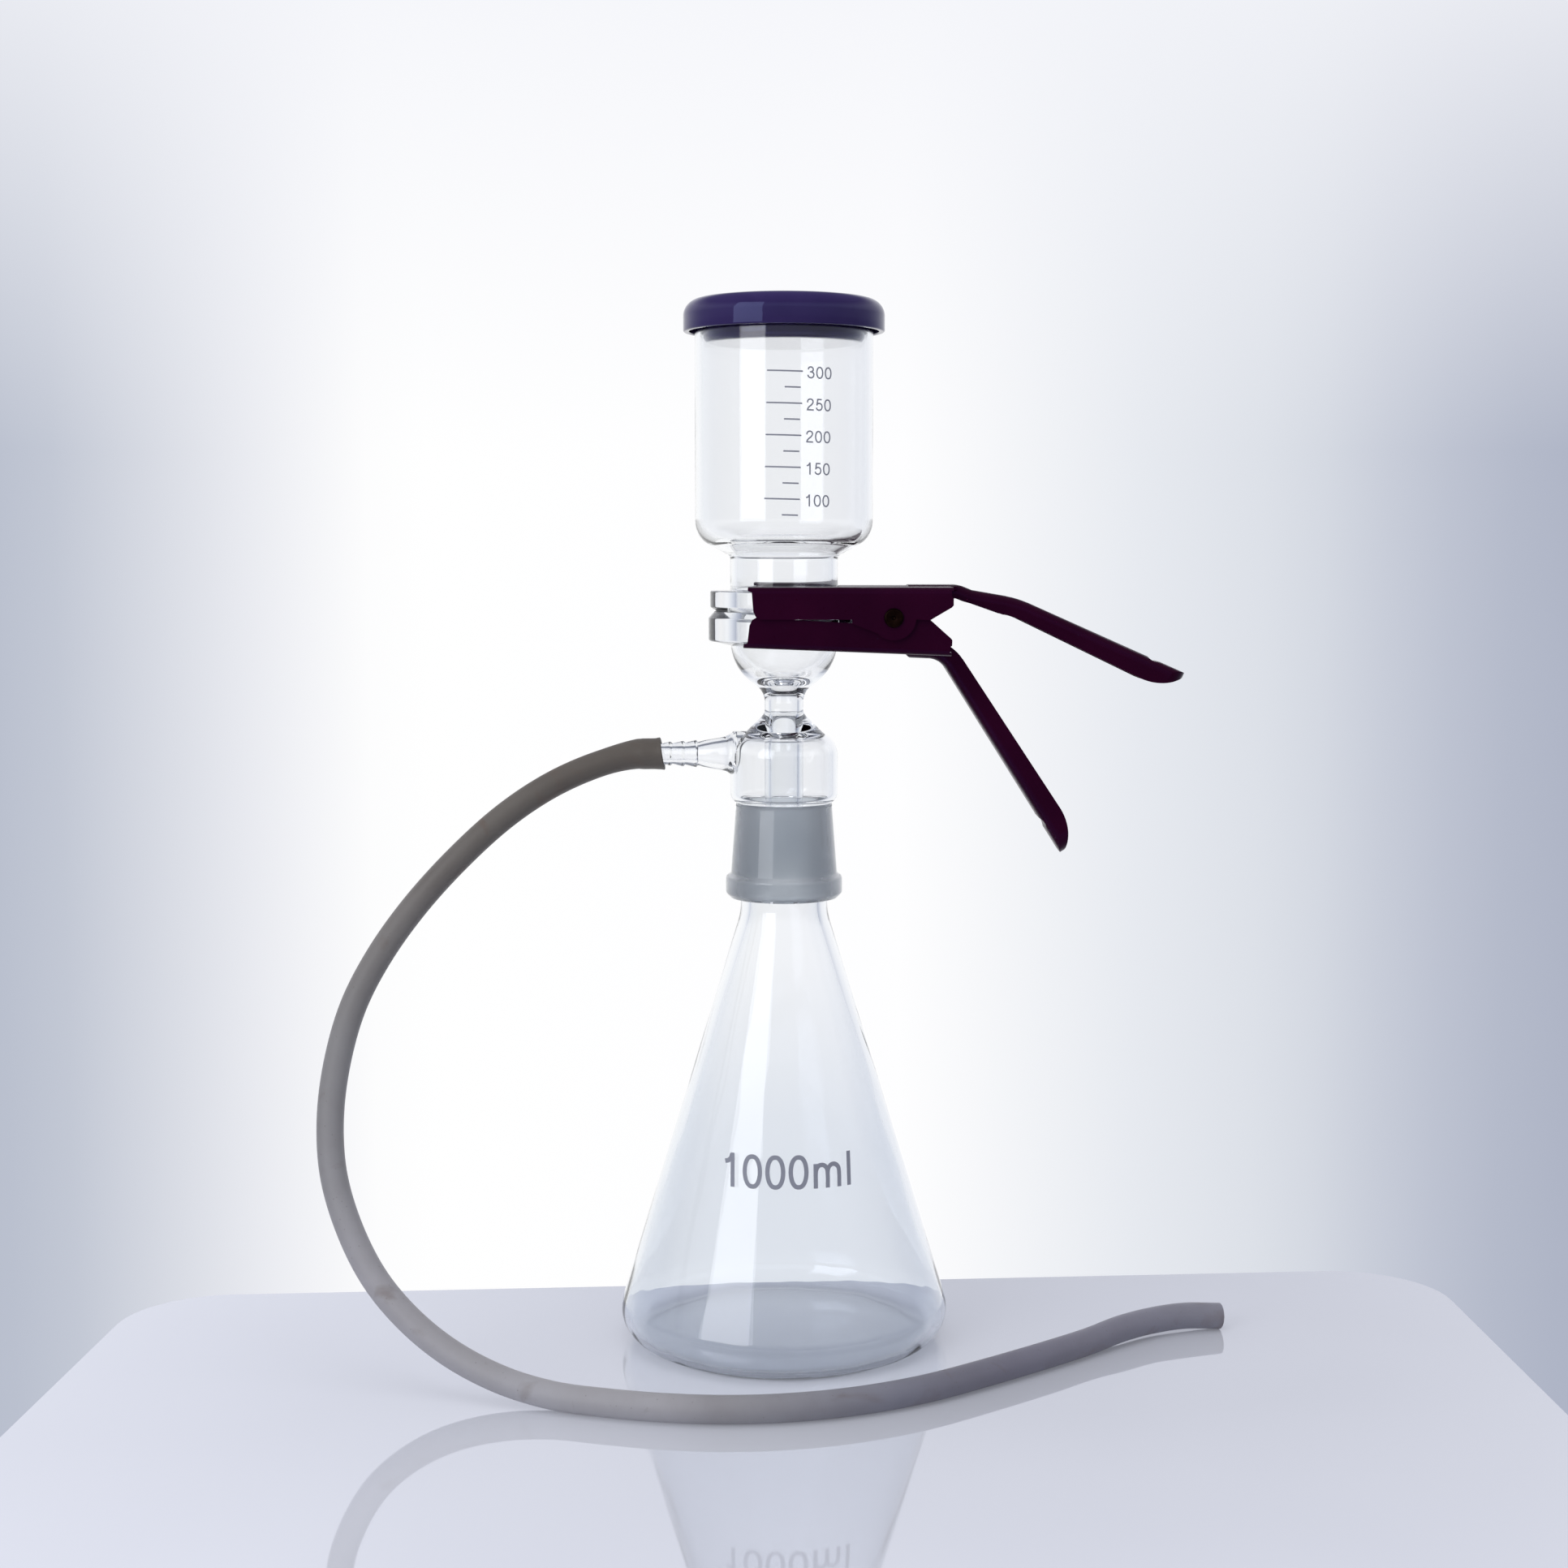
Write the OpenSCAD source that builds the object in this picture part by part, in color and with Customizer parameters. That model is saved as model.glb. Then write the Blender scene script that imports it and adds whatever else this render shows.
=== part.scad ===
// Vacuum filtration unit: a conical flask, a filter head with a barbed side arm, a graduated
// cup with a push-in lid, a spring clamp that holds cup and head together, and a suction hose.
// The origin is the centre of the flask's foot, +Z is up, the clamp's handles point to +X.

/* [Flask] */
// Widest outer diameter of the flask
flask_d = 141; // [120:1:160]
// Height at which the flask's neck becomes straight
neck_z = 190; // [170:1:220]
// Outer diameter of the flask's neck
neck_d = 37; // [34:0.5:40]
// Radius of the rounded edge between the foot and the side
heel_r = 12.5; // [8:0.5:16]
// Radius of the swell between the widest ring and the straight cone
swell_r = 18; // [16:1:40]
// Radius of the curve that leads into the neck
neck_bend_r = 30; // [15:1:45]
// Glass thickness at the foot and the lower cone
flask_wall = 2.4; // [1.8:0.1:3.5]
// Glass thickness in the neck
neck_wall = 4.3; // [3:0.1:5]
// Radius of the hollow pushed up into the foot
punt_r = 48; // [30:1:54]
// Rise of the foot's hollow at its centre
punt_h = 2; // [0.5:0.1:4]

/* [Ground joint] */
// Diameter of the ground cone at its wide lower end
joint_d = 40; // [39:0.1:42]
// Length of the ground cone
joint_l = 38; // [30:1:45]
// Taper of the ground joint, change of diameter per length
joint_taper = 0.1; // [0.05:0.01:0.14]
// Radial gap between the ground cone and its socket
joint_gap = 0.1; // [0.05:0.01:0.2]
// Height of the bead around the socket's mouth
bead_h = 10; // [6:0.5:12]
// Outer diameter of the bead
bead_d = 49.8; // [47:0.2:54]
// Glass thickness of the socket at its mouth
socket_wall = 2.8; // [2:0.1:3]
// Length of the socket above the bead
socket_l = 29.5; // [25:0.5:34]

/* [Filter head] */
// Outer diameter of the bulb above the socket
bulb_d = 45.8; // [44:0.2:50]
// Height of the bulb, from the socket up to its neck
bulb_h = 38; // [35:0.5:44]
// Radius of the bulb's round top edge
dome_r = 10; // [8:0.5:11]
// Height of the thick cone between the bulb's dome and its neck
cone_h = 6.5; // [5:0.5:9]
// Radius of the bulb's round foot above the socket
foot_r = 5; // [4:0.5:6]
// Glass thickness of the bulb and the bowl
head_wall = 2.3; // [1.8:0.1:3]
// Outer diameter of the drip tube and of the neck under the bowl
stem_d = 16.4; // [14:0.2:18]
// Bore of the drip tube
stem_bore = 11.6; // [8:0.2:12]
// Length of the drip tube below the bulb's neck
drip_l = 61; // [50:1:66]
// Radius of the curve between the stem and the bowl
stem_bend_r = 9; // [5:0.5:10]
// Outer radius of the round bowl under the filter
bowl_r = 22.7; // [21.5:0.1:23]
// Height of the bowl's centre above the bulb's neck
bowl_h = 32.5; // [30:0.5:36]
// Depth of the bowl's hollow below its centre
bowl_depth = 17.6; // [15:0.2:20]
// Outer diameter of the head's flange
head_flange_d = 64; // [62:0.5:66]
// Thickness of the head's flange
head_flange_t = 12.5; // [10:0.5:15]
// Chamfer on the upper edge of the head's flange
head_chamfer = 2.4; // [1:0.1:3]
// Diameter of the sintered disc
frit_d = 40.6; // [36:0.2:41]
// Thickness of the sintered disc
frit_t = 4.2; // [3:0.1:6]

/* [Side arm] */
// Height of the side arm above the bulb's lower edge
arm_h = 22; // [18:0.5:24]
// Distance of the arm's tip from the unit's axis
arm_reach = 62; // [56:0.5:70]
// Diameter of the arm where it leaves the bulb
arm_root_d = 14; // [12:0.2:14.6]
// Diameter of the arm just before the barbs
arm_d = 10.2; // [9.4:0.1:11]
// Number of barbs
barbs = 5; // [3:1:6]
// Distance from one barb to the next
barb_pitch = 5.5; // [4.5:0.1:6]
// Height of the first barb's step
barb_step = 0.7; // [0.3:0.05:1]
// Bore of the side arm
arm_bore = 5; // [4:0.1:5.4]
// Length over which the bore narrows from the bulb's wall
arm_cone_l = 18; // [12:1:20]

/* [Cup] */
// Outer diameter of the cup
cup_d = 75; // [72:0.2:76]
// Bore of the cup
cup_bore = 70.4; // [68.4:0.2:71.4]
// Height of the cup's straight wall
cup_h = 88.5; // [70:0.5:110]
// Radius of the cup's rounded shoulder
shoulder_r = 12; // [10:0.5:14]
// Slope of the cup's floor
floor_slope = 27; // [20:1:32]
// Outer diameter of the cup's outlet
outlet_d = 45.6; // [43:0.2:46]
// Glass thickness of the outlet
outlet_wall = 2.5; // [2:0.1:3]
// Height of the outlet above the flange
outlet_h = 14.5; // [12:0.5:20]
// Outer diameter of the cup's flange
cup_flange_d = 62.6; // [60:0.2:64]
// Thickness of the cup's flange
cup_flange_t = 8.7; // [7:0.1:10]
// Gap between the two ground faces, room for a membrane
seam_gap = 0.2; // [0.1:0.05:0.4]

/* [Lid] */
// Outer diameter of the lid
lid_d = 84.6; // [83:0.2:90]
// Height of the lid's rim
lid_h = 13.5; // [11:0.5:18]
// Rounding of the lid's upper edge
lid_round = 7; // [3:0.5:8]
// Thickness of the lid above the cup's rim
lid_top = 3.4; // [2:0.1:5]
// Thickness of the lid's skirt
skirt_t = 2.5; // [1.5:0.1:3]
// Radial gap between the plug and the cup's bore
plug_gap = 1.3; // [0.5:0.1:2]
// Depth of the plug below the cup's rim
plug_h = 15; // [10:0.5:18]
// Rounding of the plug's lower edge
plug_round = 3; // [1:0.5:4]
// Gap between the lid and the cup's rim
lid_gap = 0.1; // [0.05:0.05:0.3]

/* [Clamp] */
// Thickness of the clamp's sheet
sheet_t = 1.5; // [1.2:0.1:1.8]
// Outside radius of the sheet's folds
fold_r = 2.6; // [2:0.1:3]
// Sideways gap between the flanges and the clamp's cheeks
cheek_gap = 0.4; // [0.3:0.1:1]
// Sideways gap between the cheeks of the two halves
half_gap = 0.3; // [0.2:0.05:0.5]
// Gap between each fork and its flange
fork_gap = 0.3; // [0.1:0.05:0.5]
// Gap between the forks' slots and the glass necks
slot_gap = 0.7; // [0.5:0.1:1.5]
// Distance of the pivot from the unit's axis
pivot_x = 45; // [43:0.5:50]
// Reach of the upper fork beyond the unit's axis
fork_reach = 14.8; // [8:0.1:20]
// Extra reach of the lower fork
lower_longer = 1.4; // [0:0.1:3]
// Height of the slit between the two halves' cheeks
slit_w = 1.5; // [1:0.1:2.5]
// Length of the slit in front of the pivot
slit_l = 17; // [14:0.5:20]
// Length of the clamp's body behind the pivot
tail_l = 24.5; // [22:0.5:28]
// Angle by which the lower half closes in towards the tips
jaw_toe = 2.2; // [0:0.1:3]
// Radius of the cheeks' lobes around the pivot
lobe_r = 9.2; // [7:0.1:9.3]
// Diameter of the pivot pin
pin_d = 6; // [4:0.1:7]
// Radial running clearance of the pivot pin
pin_gap = 0.05; // [0.02:0.01:0.1]
// Diameter of the pin's riveted heads
rivet_d = 8; // [8:0.1:10]
// Thickness of the pin's riveted heads
rivet_t = 1.2; // [0.8:0.1:2]

/* [Handles] */
// Width of the handles
handle_w = 22; // [18:0.5:28]
// Depth of the handles' folded sides next to the tips
handle_depth = 9.7; // [8.8:0.1:12]
// Outside radius of the handles' long edges
handle_fold = 4; // [2.5:0.1:5]
// Distance from the pivot to where the handles rise from the body
handle_start = 7; // [5:0.5:12]
// Fall of the upper handle
upper_fall = 24; // [20:0.5:30]
// Fall of the upper handle's neck
neck_fall = 9.8; // [6:0.1:14]
// Length of the upper handle's neck
neck_l = 13.5; // [10:0.5:20]
// Radius of the bend between the neck and the upper handle
upper_bend_r = 40; // [30:1:60]
// Length of the upper handle's straight part
upper_l = 73.3; // [50:0.1:90]
// Depth of the upper handle's sides at its root
upper_root_depth = 5.7; // [5:0.1:8]
// Depth of the sides where the upper handle becomes straight
upper_depth = 7.9; // [6:0.1:9]
// Height of the upper handle above its web
upper_rise = 0.7; // [0.3:0.1:2]
// Fall of the lower handle
lower_fall = 57.8; // [54:0.1:64]
// Radius of the lower handle's bend
lower_bend_r = 10; // [7:0.5:14]
// Length of the lower handle's straight part
lower_l = 92.5; // [60:0.5:100]
// Depth of the lower handle's sides at its root
lower_root_depth = 8; // [6:0.1:9]
// Height of the lower handle above its web
lower_rise = 2.3; // [1:0.1:3]
// Length of the handles' rounded tips
tip_l = 17; // [12:0.5:20]
// Depth of the nick across the back of each tip
nick_d = 0.8; // [0.3:0.1:1]

/* [Spring] */
// Diameter of the spring wire
wire_d = 1.8; // [1.2:0.1:2]
// Number of turns
turns = 7; // [4:1:7]
// Gap between the coil and the pin
coil_gap = 0.5; // [0.3:0.1:1]
// Reach of the spring's legs from the pin
leg_l = 19; // [15:0.5:21]

/* [Hose] */
// Outer diameter of the hose
hose_d = 11.2; // [10:0.1:12]
// Wall thickness of the hose
hose_wall = 2.1; // [1.5:0.1:2.5]
// Outer diameter of the hose's stretched end on the barbs
hose_mouth_d = 13.2; // [12.4:0.1:14]

/* [Hidden] */
$fn = 96;
arc_steps = 10;
cut = 1;

// Ground joint
joint_rise = 4.5;
bead_drop = 2.5;
joint_z = neck_z + joint_rise;
joint_top_z = joint_z + joint_l;
joint_top_r = joint_d / 2 - joint_l * joint_taper / 2;
bead_z = joint_z - bead_drop;
socket_z = bead_z + bead_h;
bulb_z = socket_z + socket_l;
mouth_r = joint_d / 2 + joint_gap;
socket_top_r = joint_top_r + joint_gap;

// Filter head
flange_drop = 0.5;
bulb_r = bulb_d / 2;
foot_z = bulb_z + foot_r + 0.5;
foot_turn = acos(min(1, max(0, 1 - (bulb_r - socket_top_r - head_wall) / foot_r)));
stem_z = bulb_z + bulb_h;
bowl_z = stem_z + bowl_h;
head_under_z = bowl_z - flange_drop;
head_top_z = head_under_z + head_flange_t;
dome_z = stem_z - dome_r - cone_h;
dome_turn = 68;
drip_z = stem_z - drip_l;
arm_z = bulb_z + arm_h;

// Cup and lid
floor_rise = 2.9;
cup_z = head_top_z + seam_gap;
cup_flange_top_z = cup_z + cup_flange_t;
cup_floor_z = cup_flange_top_z + outlet_h;
cup_wall = (cup_d - cup_bore) / 2;
shoulder_z = cup_floor_z + shoulder_r + floor_rise;
cup_rim_z = shoulder_z + cup_h;
lid_top_z = cup_rim_z + lid_gap + lid_top;
lid_z = lid_top_z - lid_h;
plug_r = cup_bore / 2 - plug_gap;

// Clamp: the pivot lies halfway up the two flanges
shoulder = 3;
apex_x = lobe_r + 5.6;
lower_bend_x = 0.66 * tail_l;
pivot_z = (head_under_z + cup_flange_top_z) / 2;
flange_r = max(head_flange_d, cup_flange_d) / 2;
inner_half_w = 2 * (flange_r + cheek_gap + sheet_t);
outer_half_w = inner_half_w + 2 * (half_gap + sheet_t);
lap = 0.3;
lap_step = 0.05;
fork_end = pivot_x + fork_reach;
upper_edge = -0.7;
upper_web = cup_flange_top_z + fork_gap + sheet_t - pivot_z;
lower_web = (pivot_z - head_under_z + fork_gap + (fork_end + lower_longer) * sin(jaw_toe))
    / cos(jaw_toe) + sheet_t;
cup_slot_r = outlet_d / 2 + slot_gap;
head_slot_r = bowl_r + slot_gap;

// Hose: hand-set centre line, from the barbed arm down to the table and round the flask
hose_rest = hose_d / 2;
hose_lift = hose_rest + 1;
hose_points = [
    [-62, 0, arm_z], [-78, -2, 249.5], [-98, -5, 241], [-118, -9, 228], [-138, -15, 210],
    [-156, -21, 190], [-170, -27, 170], [-180, -32, 150], [-186, -38, 127], [-188, -44, 105],
    [-186, -50, 84], [-179, -57, 64], [-168, -64, 45], [-154, -71, 30.5], [-136, -79, 18.5],
    [-114, -88, 10], [-92, -96, hose_rest + 0.4], [-70, -103, hose_rest], [-46, -108.5, hose_rest],
    [-21, -110.5, hose_rest], [4, -108, hose_rest], [30, -100.5, hose_rest],
    [56, -87.5, hose_rest], [84, -67, hose_rest], [113, -43.5, hose_rest],
    [130, -28.5, hose_rest], [145, -15.5, hose_lift], [160, -4.5, hose_lift],
    [175, 2, hose_lift], [191, 5, hose_rest]];

// Points of a circular arc in the plane
function arc(centre, r, from, to) =
    [for (i = [0 : arc_steps]) let (a = from + (to - from) * i / arc_steps)
        centre + r * [cos(a), sin(a)]];

function reversed(list) = [for (i = [len(list) - 1 : -1 : 0]) list[i]];

function unit(v) = v / norm(v);

// Angle at which one straight line leaves a convex arc and meets a hollow one
function slope_between(a, ra, b, rb) =
    atan2(b[1] - a[1], b[0] - a[0]) - acos((ra + rb) / norm(b - a));

// Side of the flask from the foot to the neck, drawn the given amounts inside the outer face
function flask_side(low, high) =
    let (heel = [flask_d / 2 - heel_r, heel_r],
         swell = [flask_d / 2 - swell_r, heel_r],
         bend = [neck_d / 2 + neck_bend_r, neck_z],
         lean = slope_between(swell, swell_r - low, bend, neck_bend_r + high))
    concat(arc(heel, heel_r - low, -90, 0),
           arc(swell, swell_r - low, lean / arc_steps, lean),
           arc(bend, neck_bend_r + high, 180 + lean, 180));

module flask() {
    rim = 1;
    bore_r = neck_d / 2 - neck_wall;
    color([0.86, 0.9, 0.93, 0.45])
    rotate_extrude()
    polygon(concat(
        [[0, punt_h], [punt_r, punt_h / 2], [punt_r + 2, 0]],
        flask_side(0, 0),
        [[neck_d / 2, joint_z - 0.7 * joint_rise], [joint_d / 2, joint_z]],
        [[joint_top_r + rim * joint_taper / 2, joint_top_z - rim], [joint_top_r - rim, joint_top_z],
         [bore_r + rim, joint_top_z], [bore_r, joint_top_z - rim]],
        reversed(flask_side(flask_wall, neck_wall)),
        [[punt_r, flask_wall], [punt_r - 2, flask_wall + punt_h / 2], [0, flask_wall + punt_h]]));
}

// Outer face of the filter head, from the bead's mouth to the flange's ground face
function head_outside() =
    let (socket_r = mouth_r + socket_wall - 3 * joint_gap,
         stem_r = stem_d / 2,
         fillet = 4,
         bend_c = [stem_r + stem_bend_r,
                   bowl_z - sqrt(pow(bowl_r + stem_bend_r, 2) - pow(stem_r + stem_bend_r, 2))],
         bend_a = atan2(bowl_z - bend_c[1], -bend_c[0]),
         flange_r = head_flange_d / 2)
    concat(
        [[mouth_r + 0.6, bead_z], [bead_d / 2 - 2, bead_z], [bead_d / 2, bead_z + 2],
         [bead_d / 2, socket_z - 1.5], [bead_d / 2 - 1, socket_z - 0.4], [socket_r, socket_z + 1]],
        [[socket_top_r + head_wall, bulb_z - 0.5]],
        arc([bulb_r - foot_r, foot_z], foot_r, -foot_turn, 0),
        arc([bulb_r - dome_r, dome_z], dome_r, 0, dome_turn),
        arc([stem_r + fillet, stem_z + 3], fillet, 225, 180),
        arc(bend_c, stem_bend_r, 180, bend_a),
        arc([0, bowl_z], bowl_r, bend_a - 180, -6),
        [[bowl_r + 0.6, head_under_z], [flange_r - 1, head_under_z], [flange_r, head_under_z + 1],
         [flange_r, head_top_z - head_chamfer], [flange_r - head_chamfer, head_top_z]]);

// Inner face of the bulb and the socket, around the drip tube
function head_cavity() =
    let (stem_r = stem_d / 2,
         end = 1)
    concat(
        [[mouth_r + 1, bead_z - cut], [mouth_r + 1, bead_z], [mouth_r, joint_z],
         [socket_top_r, joint_top_z]],
        arc([bulb_r - foot_r, foot_z], foot_r - head_wall, -foot_turn, 0),
        arc([bulb_r - dome_r, dome_z], dome_r - head_wall, 0, dome_turn),
        [[stem_r, dome_z + dome_r - 0.6 * head_wall], [stem_r, drip_z + end],
         [stem_r - end, drip_z], [0, drip_z]]);

// Length profile of the barbed arm: [distance from the axis, radius]
function arm_profile() =
    let (first = arm_reach - barbs * barb_pitch + 2.8,
         r = arm_d / 2,
         fall = 0.33)
    concat(
        [[0, 0], [0, arm_root_d / 2], [bulb_r + 1, arm_root_d / 2], [first - 1.2, r]],
        [for (i = [0 : barbs - 1], side = [0, 1])
            let (x = first + i * barb_pitch, peak = r + barb_step - i * fall)
            side == 0 ? [x, peak] : [min(x + barb_pitch - 0.8, arm_reach), peak - barb_step - 0.35]],
        [[arm_reach, 0]]);

module filter_head() {
    color([0.84, 0.88, 0.92, 0.5])
    difference() {
        union() {
            rotate_extrude()
            polygon(concat([[0, bead_z]], head_outside(), [[0, head_top_z]]));
            translate([0, 0, arm_z])
            rotate([0, -90, 0])
            rotate_extrude()
            polygon([for (p = arm_profile()) [p[1], p[0]]]);
        }
        rotate_extrude()
        polygon(concat([[0, bead_z - cut]], head_cavity()));
        // Drip tube bore, bowl and the seat of the sintered disc
        translate([0, 0, drip_z - cut])
        cylinder(d = stem_bore, h = drip_l + bowl_h);
        bowl_inside();
        translate([0, 0, arm_z])
        rotate([0, -90, 0]) {
            translate([0, 0, stem_d])
            cylinder(d = arm_bore, h = arm_reach);
            translate([0, 0, bulb_r - 2 * head_wall])
            cylinder(d1 = arm_root_d - 2 * head_wall, d2 = arm_bore, h = arm_cone_l);
        }
    }
}

// Hollow of the bowl, open upwards to the ground face
module bowl_inside() {
    inner_r = frit_d / 2;
    rotate_extrude()
    polygon(concat([[0, bowl_z - bowl_depth]],
                   [for (a = [-81 : 9 : 0]) [inner_r * cos(a), bowl_z + bowl_depth * sin(a)]],
                   [[inner_r, head_top_z + cut], [0, head_top_z + cut]]));
}

module sintered_disc() {
    color([0.93, 0.93, 0.94])
    translate([0, 0, head_top_z - frit_t])
    cylinder(d = frit_d - 0.1, h = frit_t);
}

// One face of the cup from the flange to the rim, the given amount inside the outer face
function cup_side(wall, neck_r) =
    let (c = [cup_d / 2 - shoulder_r, shoulder_z],
         r = shoulder_r - wall,
         low = c + r * [sin(floor_slope), -cos(floor_slope)],
         bend = 2,
         edge_r = neck_r + bend)
    concat([[neck_r, low[1] - (low[0] - edge_r) * tan(floor_slope) - bend],
            [edge_r, low[1] - (low[0] - edge_r) * tan(floor_slope)]],
           arc(c, r, floor_slope - 90, 0));

module filter_cup() {
    flange_r = cup_flange_d / 2;
    outlet_r = outlet_d / 2;
    rim = cup_wall / 4;
    fillet = slot_gap - 0.2;
    color([0.88, 0.92, 0.95, 0.4])
    rotate_extrude()
    polygon(concat(
        [[flange_r - 2.5, cup_z], [flange_r, cup_z + 2], [flange_r, cup_flange_top_z - 0.4],
         [flange_r - 0.4, cup_flange_top_z], [outlet_r + fillet, cup_flange_top_z],
         [outlet_r, cup_flange_top_z + fillet]],
        cup_side(0, outlet_r),
        [[cup_d / 2, cup_rim_z - rim], [cup_d / 2 - rim, cup_rim_z],
         [cup_bore / 2 + rim, cup_rim_z], [cup_bore / 2, cup_rim_z - rim]],
        reversed(cup_side(cup_wall, outlet_r - outlet_wall)),
        [[outlet_r - outlet_wall, cup_z]]));
}

module lid() {
    lip = 0.5;
    outer_r = lid_d / 2;
    color([0.17, 0.16, 0.33])
    rotate_extrude()
    polygon(concat(
        [[0, lid_top_z]],
        reversed(arc([outer_r - lid_round, lid_top_z - lid_round], lid_round, 0, 90)),
        [[outer_r, lid_z + lip], [outer_r - lip, lid_z], [outer_r - skirt_t, lid_z],
         [outer_r - skirt_t, lid_top_z - lid_top], [plug_r, lid_top_z - lid_top]],
        reversed(arc([plug_r - plug_round, lid_top_z - lid_top - plug_h + plug_round],
                     plug_round, -90, 0)),
        [[0, lid_top_z - lid_top - plug_h]]));
}

// Cross-section of folded sheet: a web on top, two sides, rounded folds. y = 0 is the web's face
module folded_section(width, depth, fold, sheet = sheet_t) {
    difference() {
        rounded_top(width, depth, fold);
        translate([0, -sheet])
        rounded_top(width - 2 * sheet, depth, fold - sheet);
    }
}

module rounded_top(width, depth, r) {
    intersection() {
        translate([-width / 2, -depth])
        square([width, depth]);
        union() {
            translate([-width / 2, -depth - cut])
            square([width, depth + cut - r]);
            translate([r - width / 2, -r - cut])
            square([width - 2 * r, r + 2 * cut]);
            for (side = [-1, 1])
            translate([side * (width / 2 - r), -r])
            circle(r);
        }
    }
}

// Sweeps a folded section straight along +X, web upwards
module folded_run(width, depth, fold, length) {
    rotate([90, 0, 90])
    linear_extrude(length)
    folded_section(width, depth, fold);
}

// Bends a handle's section by angle around an axis parallel to Y. Its web lies at the given
// radius, on the outside of the bend, or with hollow = true on the inside. The bend is a hair
// thinner than the straight parts, which lap over its two ends
module folded_bend(depth, radius, angle, hollow) {
    translate([0, 0, -radius])
    rotate([-90, 0, 0])
    rotate([0, 0, -90])
    rotate_extrude(angle = angle)
    translate([radius, 0])
    rotate(hollow ? 90 : -90)
    translate([0, -lap_step])
    folded_section(handle_w - 2 * lap_step, depth - 2 * lap_step, handle_fold - lap_step,
                   sheet_t - 2 * lap_step);
}

// Cheek seen from the side, pivot at the origin and web at the top. Its edge runs from the height
// near, beside the lobe, to far at the fork's tip. Behind the lobe it rises from an apex
module cheek_outline(web, reach, near, far, apex, rear_slope) {
    slit_x = -slit_l;
    slit_h = 1.7;
    lobe_side = 0.7 * lobe_r;
    lip = 1.6;
    corner = 3.4;
    under = web - sheet_t - 0.6;
    rear_x = tail_l - 0.7;
    rear = apex[1] + rear_slope * (rear_x - apex[0]);
    notch = 0.8;
    step = max(web - 4.4, rear + 2 * notch);
    circle(lobe_r);
    polygon([[slit_x, near], [slit_x, near - slit_h], [-lobe_side, -lobe_side], [0, 0]]);
    polygon([[-reach, web + cut], [-reach, under + 0.6], [lip - reach, under],
             [lip + 0.6 - reach, far + corner], [lip + 1.6 - reach, far + corner / 3],
             [lip + corner - reach, far], [slit_x, near], [0, 0], apex,
             [rear_x, rear], [tail_l, rear + notch], [tail_l, step],
             [tail_l - notch, step + notch], [tail_l - notch, web + cut]]);
}

// Body of one half, seen from above: a fork round the neck and a shoulder down to the handle
module plan_outline(width, reach, slot_r) {
    difference() {
        union() {
            translate([-reach, -width / 2])
            square([reach + tail_l, width]);
            translate([0, -handle_w / 2 - shoulder])
            square([tail_l + shoulder, handle_w + 2 * shoulder]);
        }
        translate([-pivot_x, 0])
        circle(slot_r);
        translate([-pivot_x - 2 * slot_r, -slot_r])
        square([2 * slot_r, 2 * slot_r]);
        for (side = [-1, 1])
        translate([tail_l + shoulder, side * (handle_w / 2 + shoulder)])
        circle(shoulder);
    }
}

// Folded body of one half, pivot at the origin, web upwards. Its cheeks are the child outline
module half_body(width, web, reach, slot_r) {
    depth = web + lobe_r + cut;
    difference() {
        intersection() {
            translate([-reach - cut, 0, web])
            folded_run(width, depth, fold_r, reach + tail_l + shoulder + 2 * cut);
            rotate([90, 0, 0])
            linear_extrude(width + cut, center = true)
            union() {
                children();
                translate([0, web - sheet_t])
                square([tail_l + shoulder, sheet_t + cut]);
            }
            translate([0, 0, -depth])
            linear_extrude(2 * depth)
            plan_outline(width, reach, slot_r);
        }
        rotate([90, 0, 0])
        cylinder(r = pin_d / 2 + pin_gap, h = width + 2, center = true);
    }
}

// Solid bar towards +X: top at z = 0, rounded long edges, rounded corners at its far end
module tip_block(width, fold, length, corner) {
    intersection() {
        rotate([90, 0, 90])
        linear_extrude(length)
        rounded_top(width, handle_depth, fold);
        translate([0, 0, -handle_depth - cut])
        linear_extrude(handle_depth + 2 * cut)
        union() {
            translate([-cut, -width / 2])
            square([length + cut - corner, width]);
            translate([length - corner - cut, corner - width / 2])
            square([corner + cut, width - 2 * corner]);
            for (side = [-1, 1])
            translate([length - corner, side * (width / 2 - corner)])
            circle(corner);
        }
    }
}

// Straight part of a handle: folded sheet that closes round a nicked, scooped tip
module handle_blade(straight, depth_at_root) {
    length = straight + lap;
    end_depth = 2;
    scoop_h = handle_depth - end_depth;
    scoop_r = (tip_l * tip_l + scoop_h * scoop_h) / (2 * scoop_h);
    corner = 0.4 * handle_w;
    nick_r = 6;
    translate([-lap, 0, 0])
    difference() {
        tip_block(handle_w, handle_fold, length, corner);
        translate([-cut, 0, -sheet_t])
        tip_block(handle_w - 2 * sheet_t, handle_fold - sheet_t, length + cut - sheet_t,
                  corner - sheet_t);
        // The sides grow deeper from the root, then run out towards the tip
        rotate([90, 0, 0])
        linear_extrude(handle_w + cut, center = true)
        difference() {
            translate([-cut, -handle_depth - cut])
            square([length + 2 * cut, handle_depth + cut]);
            translate([-2 * cut, -depth_at_root])
            square([3 * cut, depth_at_root + cut]);
            polygon([[0, cut], [0, -depth_at_root], [length - tip_l, -handle_depth],
                     [length - tip_l, cut]]);
            translate([length - tip_l, scoop_r - handle_depth])
            circle(scoop_r);
        }
        translate([length - tip_l + 2, 0, nick_r - nick_d])
        rotate([90, 0, 0])
        cylinder(r = nick_r, h = handle_w + 2, center = true);
    }
}

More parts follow.
